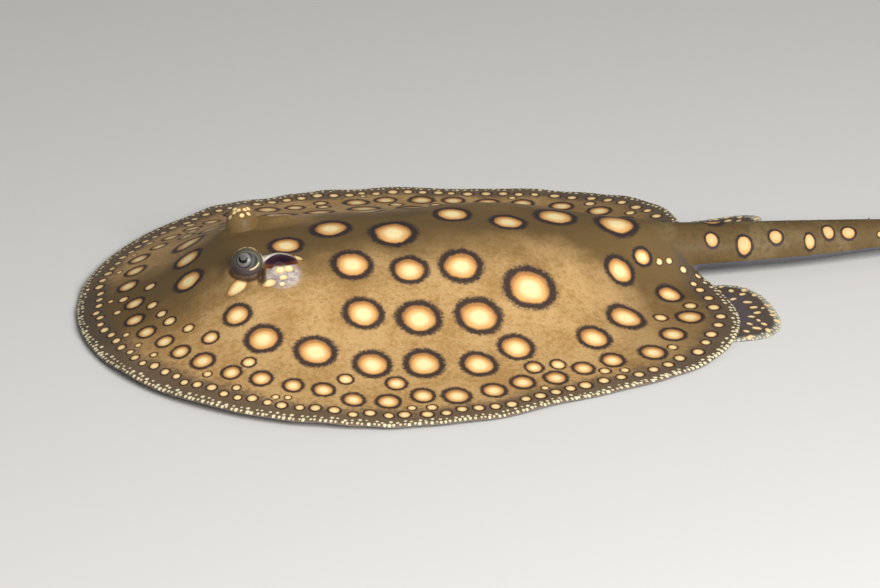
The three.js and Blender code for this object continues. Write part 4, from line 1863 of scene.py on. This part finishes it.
    def underside_relief(self, piece: bpy.types.Object) -> None:
        """Sinks the mouth, nostrils, gill slits and vent into the belly.

        Args:
            piece: The disc.
        """
        points = points_of(piece)
        x, y = points[:, 0], points[:, 1]
        side = np.abs(y)
        below = points[:, 2] < 0.5
        mouth_line = 92 - 2.2 * np.cos(np.clip(y / 12, -1, 1) * np.pi / 2)
        sink = 2 * hump(x, mouth_line, 1.6) * smooth(13, 11, side)
        sink += 1.6 * smooth(1.1, 0.5, np.hypot((x - 99) / 1.8, (side - 9.5) / 4))
        sink += 1.2 * smooth(1.1, 0.6, np.hypot((x + 104) / 7, side / 1.3))
        points[:, 2] += np.where(below, sink, 0)
        set_points(piece, points)

    def pelvic_fin(self, region: Region, hand: int) -> bpy.types.Object:
        """Shapes a ball into one pelvic fin.

        Args:
            region: Region that its faces belong to.
            hand: 1 for the left fin, -1 for the right.

        Returns:
            The fin, in millimetres.
        """
        piece = ball("pelvic_fin", self.fin_spokes, self.fin_rings)
        start = points_of(piece)
        angle = np.arctan2(start[:, 1], start[:, 0])
        share = np.sin(np.arccos(np.clip(start[:, 2], -1, 1))) ** 0.8
        distance = share * PELVIC.rim(angle)
        x = PELVIC.middle[0] + distance * np.cos(angle)
        y = PELVIC.middle[1] + distance * np.sin(angle)
        arch = PELVIC.edge_thickness + (PELVIC.thickness - PELVIC.edge_thickness) * (1 - share**2)
        rays = 0.12 * np.sin(angle * 60 / PELVIC.ray_pitch * 4) * smooth(0.25, 0.8, share)
        half = arch / 2 * np.sqrt(np.clip(1 - share**12, 0, 1)) + 0.02
        middle = PELVIC.floor_clearance + arch / 2
        upper = start[:, 2] >= 0
        z = middle + np.where(upper, half + rays, -half)
        z = z + PELVIC.root_rise * smooth(-126, -108, x)
        points = PELVIC.posed(np.stack([x, y, z], 1), hand)
        set_points(piece, points)
        self.tag(piece, region)
        outward_normals(piece)
        return piece

    def tail(self) -> bpy.types.Object:
        """Shapes a ball into the tail, with its folds and a row of thorns.

        Returns:
            The tail, in millimetres.
        """
        piece = ball("tail", self.tail_sides, self.tail_rings)
        start = points_of(piece)
        share = np.arccos(np.clip(start[:, 2], -1, 1)) / np.pi
        angle = np.arctan2(start[:, 1], start[:, 0]) + np.pi / 2
        x = TAIL.root_x + (TAIL.tip_x - TAIL.root_x) * share
        skin = TAIL.skin(x, angle)
        axis = np.stack([x, TAIL.side.at(x), TAIL.height.at(x)], 1)
        closing = np.minimum(1, np.sin(share * np.pi) * 30)[:, None] ** 0.5
        set_points(piece, axis + (skin - axis) * closing)
        self.tag(piece, Region.TAIL)
        outward_normals(piece)
        unite(piece, self.thorns())
        return piece

    def thorns(self) -> bpy.types.Object:
        """A row of small thorns for the top of the tail: one is modelled and the rest copied.

        Returns:
            The thorns as one piece, in millimetres.
        """
        deselect()
        bpy.ops.mesh.primitive_cone_add(vertices=12, radius1=1.2, radius2=0.2, depth=2)
        first = bpy.context.active_object
        first.name = "thorns"
        points = points_of(first)
        points[:, 0] -= 0.6 * smooth(-1.2, 1.2, points[:, 2])
        set_points(first, points)
        self.tag(first, Region.TAIL)
        copies = []
        dice = random.Random(3)
        for x in range(-140, -240, -8):
            copy = first.copy()
            copy.data = first.data.copy()
            bpy.context.scene.collection.objects.link(copy)
            top = TAIL.skin(np.array([float(x)]), np.array([math.pi / 2]))[0]
            place = points_of(copy) * dice.uniform(0.6, 1.1) + top + np.array([0, 0, 0.1])
            place[:, 1] += dice.uniform(-1, 1)
            set_points(copy, place)
            copies.append(copy)
        bpy.data.objects.remove(first)
        deselect()
        for copy in copies:
            copy.select_set(True)
        bpy.context.view_layer.objects.active = copies[0]
        bpy.ops.object.join()
        return copies[0]

    def blend_tail_root(self, piece: bpy.types.Object) -> None:
        """Smooths the skin where the tail leaves the disc.

        Args:
            piece: The joined skin, in millimetres.
        """
        points = points_of(piece)
        x, y, z = points.T
        near = (x < -124) & (x > -146) & (np.abs(y) < 20) & (z > 4)
        soften(piece, near, 14)

    def mark(self, piece: bpy.types.Object) -> None:
        """Stores what the finish needs to know at each place of the skin.

        Args:
            piece: The joined skin, in metres.
        """
        mesh = piece.data
        points = points_of(piece) / MM
        centres = face_centres(piece) / MM
        region = np.empty(len(mesh.polygons), np.int32)
        mesh.polygons.foreach_get("material_index", region)
        normals = np.empty(len(mesh.polygons) * 3, np.float32)
        mesh.polygons.foreach_get("normal", normals)
        upward = normals.reshape(-1, 3)[:, 2]
        corner_points = np.empty(len(mesh.loops), np.int32)
        mesh.loops.foreach_get("vertex_index", corner_points)
        counts = np.empty(len(mesh.polygons), np.int32)
        mesh.polygons.foreach_get("loop_total", counts)
        owner = np.repeat(np.arange(len(counts)), counts)
        corners = points[corner_points]

        on_disc, on_tail = region == Region.DISC.value, region == Region.TAIL.value
        under = (on_disc & self.is_under(centres, upward)) | (
            (region >= Region.PELVIC_LEFT.value) & (upward < -0.2)
        )
        layout = Markings()
        back = layout.back_spots() + layout.tail_spots()
        spots = layout.read(back, centres, corners, owner, (on_disc & ~under) | on_tail)
        on_fin = region >= Region.PELVIC_LEFT.value
        fin_rows = layout.read(
            layout.fin_spots(1) + layout.fin_spots(-1), centres, corners, owner,
            on_fin & (upward > 0),
        )
        spots = np.where(on_fin[owner][:, None], fin_rows, spots)
        set_attribute(mesh, "spot", spots, "CORNER")
        set_attribute(mesh, "margin", self.margin_rows(corners, owner, region), "CORNER")
        set_attribute(mesh, "zones", self.zone_rows(corners, owner, region, under), "CORNER")
        lids, spiracle = self.face_rows(points)
        set_attribute(mesh, "lids", lids)
        # Depth in the crease at the tail's root, which the finish darkens as painted shade.
        set_attribute(mesh, "crease", self.crease_shade_rows(points))
        set_attribute(mesh, "spiracle", spiracle)
        mesh.materials.clear()
        mesh.materials.append(SkinFinish().make())
        mesh.polygons.foreach_set("material_index", np.zeros(len(mesh.polygons), np.int32))

    def is_under(self, centres: np.ndarray, upward: np.ndarray) -> np.ndarray:
        """Whether faces of the disc belong to its underside.

        Args:
            centres: Middle of each face.
            upward: How far each face's normal points up.

        Returns:
            One truth value for each face.
        """
        bearing = DISC.bearing(centres[:, 0], centres[:, 1])
        share = DISC.share(centres[:, 0], centres[:, 1])
        level = DISC.belly(bearing, share) + DISC.margin_half_thickness * 0.6
        return (upward < 0) & (centres[:, 2] < level + 3)

    def margin_rows(
        self, corners: np.ndarray, owner: np.ndarray, region: np.ndarray
    ) -> np.ndarray:
        """Place along the nearest margin and distance from it, for each face corner.

        Args:
            corners: Place of each corner.
            owner: Its face.
            region: Region of each face.

        Returns:
            Rows of arc and distance in millimetres.
        """
        x, y = corners[:, 0], corners[:, 1]
        bearing = DISC.bearing(x, y)
        first = np.zeros(len(region))
        first[owner[::-1]] = bearing[::-1]
        bearing = np.where(bearing - first[owner] > 180, bearing - 360, bearing)
        bearing = np.where(bearing - first[owner] < -180, bearing + 360, bearing)
        reach = DISC.reach.at(np.abs(DISC.bearing(x, y)))
        rows = np.stack([
            np.radians(bearing) * DISC.mean_reach, reach - np.hypot(x, y), np.zeros_like(x),
        ], 1)
        for part, hand in ((Region.PELVIC_LEFT, 1), (Region.PELVIC_RIGHT, -1)):
            own = (region == part.value)[owner]
            plan = PELVIC.unposed(corners[own], hand) - np.array(PELVIC.middle)
            angle = np.arctan2(plan[:, 1], plan[:, 0])
            distance = PELVIC.rim(angle) - np.hypot(*plan.T)
            rows[own] = np.stack([angle * 40 + 900 * hand, distance, np.zeros_like(angle)], 1)
        rows[(region == Region.TAIL.value)[owner], 1] = 99
        return rows

    def zone_rows(
        self, corners: np.ndarray, owner: np.ndarray, region: np.ndarray, under: np.ndarray
    ) -> np.ndarray:
        """Shares of belly, pelvic fin and tail, for each face corner.

        Args:
            corners: Place of each corner.
            owner: Its face.
            region: Region of each face.
            under: Whether each face is on the underside of the disc.

        Returns:
            Rows of the three shares.
        """
        on_tail = (region == Region.TAIL.value)[owner]
        turn = np.degrees(TAIL.angle(corners))
        tail_under = smooth(-14, -34, np.where(np.abs(turn) > 90, 180 - np.abs(turn), turn)
                            * np.where((turn < -90), -1, 1))
        fin = (region >= Region.PELVIC_LEFT.value)[owner]
        to_tail = smooth(-108, -128, corners[:, 0]) * smooth(18, 13, np.abs(corners[:, 1]))
        belly = np.where(on_tail, tail_under, under[owner])
        return np.stack([belly, fin, np.where(on_tail, 1, to_tail * ~fin)], 1)

    def crease_shade_rows(self, points: np.ndarray) -> np.ndarray:
        """How deep each vertex lies in the crease between the disc and the tail's root, where shade
        is painted.

        Args:
            points: Vertex places in millimetres.

        Returns:
            Rows that start with the depth, from 0 to 1.
        """
        x, y, z = points.T
        out, up = (y - TAIL.side.at(x)) / TAIL.half_width.at(x), z - TAIL.height.at(x)
        off_tail = (np.hypot(out, up / TAIL.half_height.at(x)) - 1) * TAIL.half_width.at(x)
        off_disc = np.abs(z - DISC.back(x, y))
        deep = smooth(5, 1.5, np.maximum(0, off_tail)) * smooth(4, 1, off_disc)
        deep *= smooth(-104, -116, x) * smooth(-152, -142, x) * smooth(9, 12, np.abs(y))
        return np.stack([deep, deep, deep], 1)

    def face_rows(self, points: np.ndarray) -> tuple[np.ndarray, np.ndarray]:
        """Where each vertex lies round the lids and the spiracle of its side.

        Args:
            points: Vertex places in millimetres.

        Returns:
            Rows of degrees outside the lids with direction ahead and up, and rows of place
            ahead and up from the spiracle's middle with 1 near it.
        """
        lid_rows = np.tile((999.0, 0, 0), (len(points), 1))
        spiracle_rows = np.tile((40.0, 40, 0), (len(points), 1))
        for hand in HANDS.values():
            local = HEAD.to_head(points, hand)
            own = (points[:, 2] > 12) & (local[:, 1] > 0)
            outside, direction, distance = HEAD.lids(local)
            mound = HEAD.mound_distance((local - HEAD.eye_centre) / distance[:, None])
            off = np.maximum(0, distance - np.maximum(mound, HEAD.eye_radius + 1.5) - 0.4)
            rows = np.stack([outside + 16 * off, direction[:, 0], direction[:, 1]], 1)
            lid_rows[own] = rows[own]
            place = HEAD.spiracle_place(local)
            near = np.prod(smooth((16, 18, 11), (13, 15, 8), np.abs(place)), axis=1)
            place = np.clip(place, -40, 40)
            place[:, 2] = near * (1 - smooth(1.2, 0.2, off) * smooth(46, 28, outside))
            spiracle_rows[own] = place[own]
        return lid_rows, spiracle_rows


@dataclass
class Eye:
    """One eyeball with a slightly raised cornea."""

    side: str
    segments: int = 96
    rings: int = 64
    cornea_rise: float = 0.25
    cornea_angle: float = 42

    def build(self) -> bpy.types.Object:
        """Models the eyeball and gives it its finish.

        Returns:
            The finished piece.
        """
        hand = HANDS[self.side]
        gaze = Vector(HEAD.direction(np.array(HEAD.gaze), hand))
        centre = HEAD.eye_place(hand)
        piece = ball(f"eyeball_{self.side}", self.segments, self.rings)
        turn = Vector((0, 0, 1)).rotation_difference(gaze).to_matrix()
        start = points_of(piece)
        angle = np.degrees(np.arccos(np.clip(start[:, 2], -1, 1)))
        radius = HEAD.eye_radius + self.cornea_rise * smooth(self.cornea_angle, 15, angle)
        points = (start * radius[:, None]) @ np.array(turn).T + np.array(centre)
        set_points(piece, points * MM)
        activate(piece)
        bpy.ops.object.shade_smooth()
        piece.data.materials.append(
            EyeFinish().make(f"eye_{self.side}", centre * MM, gaze)
        )
        return piece


@dataclass
class Scene:
    """Camera, floor and light."""

    bearing: float = 12.41
    elevation: float = 24.41
    distance: float = 1.5
    aim: tuple[float, float, float] = (-0.0184, -0.0037, 0)
    lens: float = 135.4

    def camera(self) -> None:
        """Puts the camera on the animal's left, ahead of square and above it."""
        level, rise = math.radians(self.bearing), math.radians(self.elevation)
        back = Vector((
            math.sin(level) * math.cos(rise), math.cos(level) * math.cos(rise), math.sin(rise),
        ))
        data = bpy.data.cameras.new("camera")
        data.lens = self.lens
        data.clip_start = 0.05
        camera = bpy.data.objects.new("camera", data)
        bpy.context.scene.collection.objects.link(camera)
        camera.location = Vector(self.aim) + back * self.distance
        camera.rotation_euler = back.to_track_quat("Z", "Y").to_euler()
        bpy.context.scene.camera = camera

    def floor(self) -> None:
        """Lays a plain pale floor."""
        deselect()
        bpy.ops.mesh.primitive_plane_add(size=8)
        floor = bpy.context.active_object
        floor.name = "floor"
        r = Recipe("floor")
        r.feed("Base Color", paint(214, 212, 208))
        r.feed("Roughness", 0.9)
        floor.data.materials.append(r.material)

    def lamp(
        self, name: str, place: tuple[float, float, float], size: float, watts: float
    ) -> None:
        """Hangs a square soft lamp that points at the animal.

        Args:
            name: Name of the lamp.
            place: Where it hangs, in metres.
            size: Length of its side.
            watts: Its power.
        """
        data = bpy.data.lights.new(name, "AREA")
        data.size = size
        data.energy = watts
        lamp = bpy.data.objects.new(name, data)
        bpy.context.scene.collection.objects.link(lamp)
        lamp.location = place
        lamp.rotation_euler = Vector(place).to_track_quat("Z", "Y").to_euler()

    def light(self) -> None:
        """Sets the soft studio light."""
        self.lamp("key", (-0.35, 1.45, 0.98), 0.9, 46)
        world = bpy.data.worlds.new("world")
        world.use_nodes = True
        world.node_tree.nodes["Background"].inputs["Color"].default_value = (1, 1, 1, 1)
        world.node_tree.nodes["Background"].inputs["Strength"].default_value = 0.24
        bpy.context.scene.world = world
        bpy.context.scene.view_settings.view_transform = "Standard"


def main() -> None:
    """Builds the animal and its scene, and attaches the skin and eyes to the body."""
    logging.basicConfig(level=logging.INFO, format="%(name)s: %(message)s")
    setting = Scene()
    setting.camera()
    setting.floor()
    setting.light()
    skin = Skin().build()
    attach(skin, BODY)
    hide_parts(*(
        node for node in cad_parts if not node.startswith("eye_") and node != "sting"
    ))
    skin.data.calc_loop_triangles()
    log.info("skin: %d triangles", len(skin.data.loop_triangles))
    for side in HANDS:
        eye = Eye(side).build()
        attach(eye, BODY)
        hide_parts(f"eye_{side}")
        log.info("%s: %d faces", eye.name, len(eye.data.polygons))
    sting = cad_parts["sting"]
    sting.data.materials.clear()
    sting.data.materials.append(StingFinish().make())
    log.info("sting: finish set")


if __name__ == "__main__":
    main()
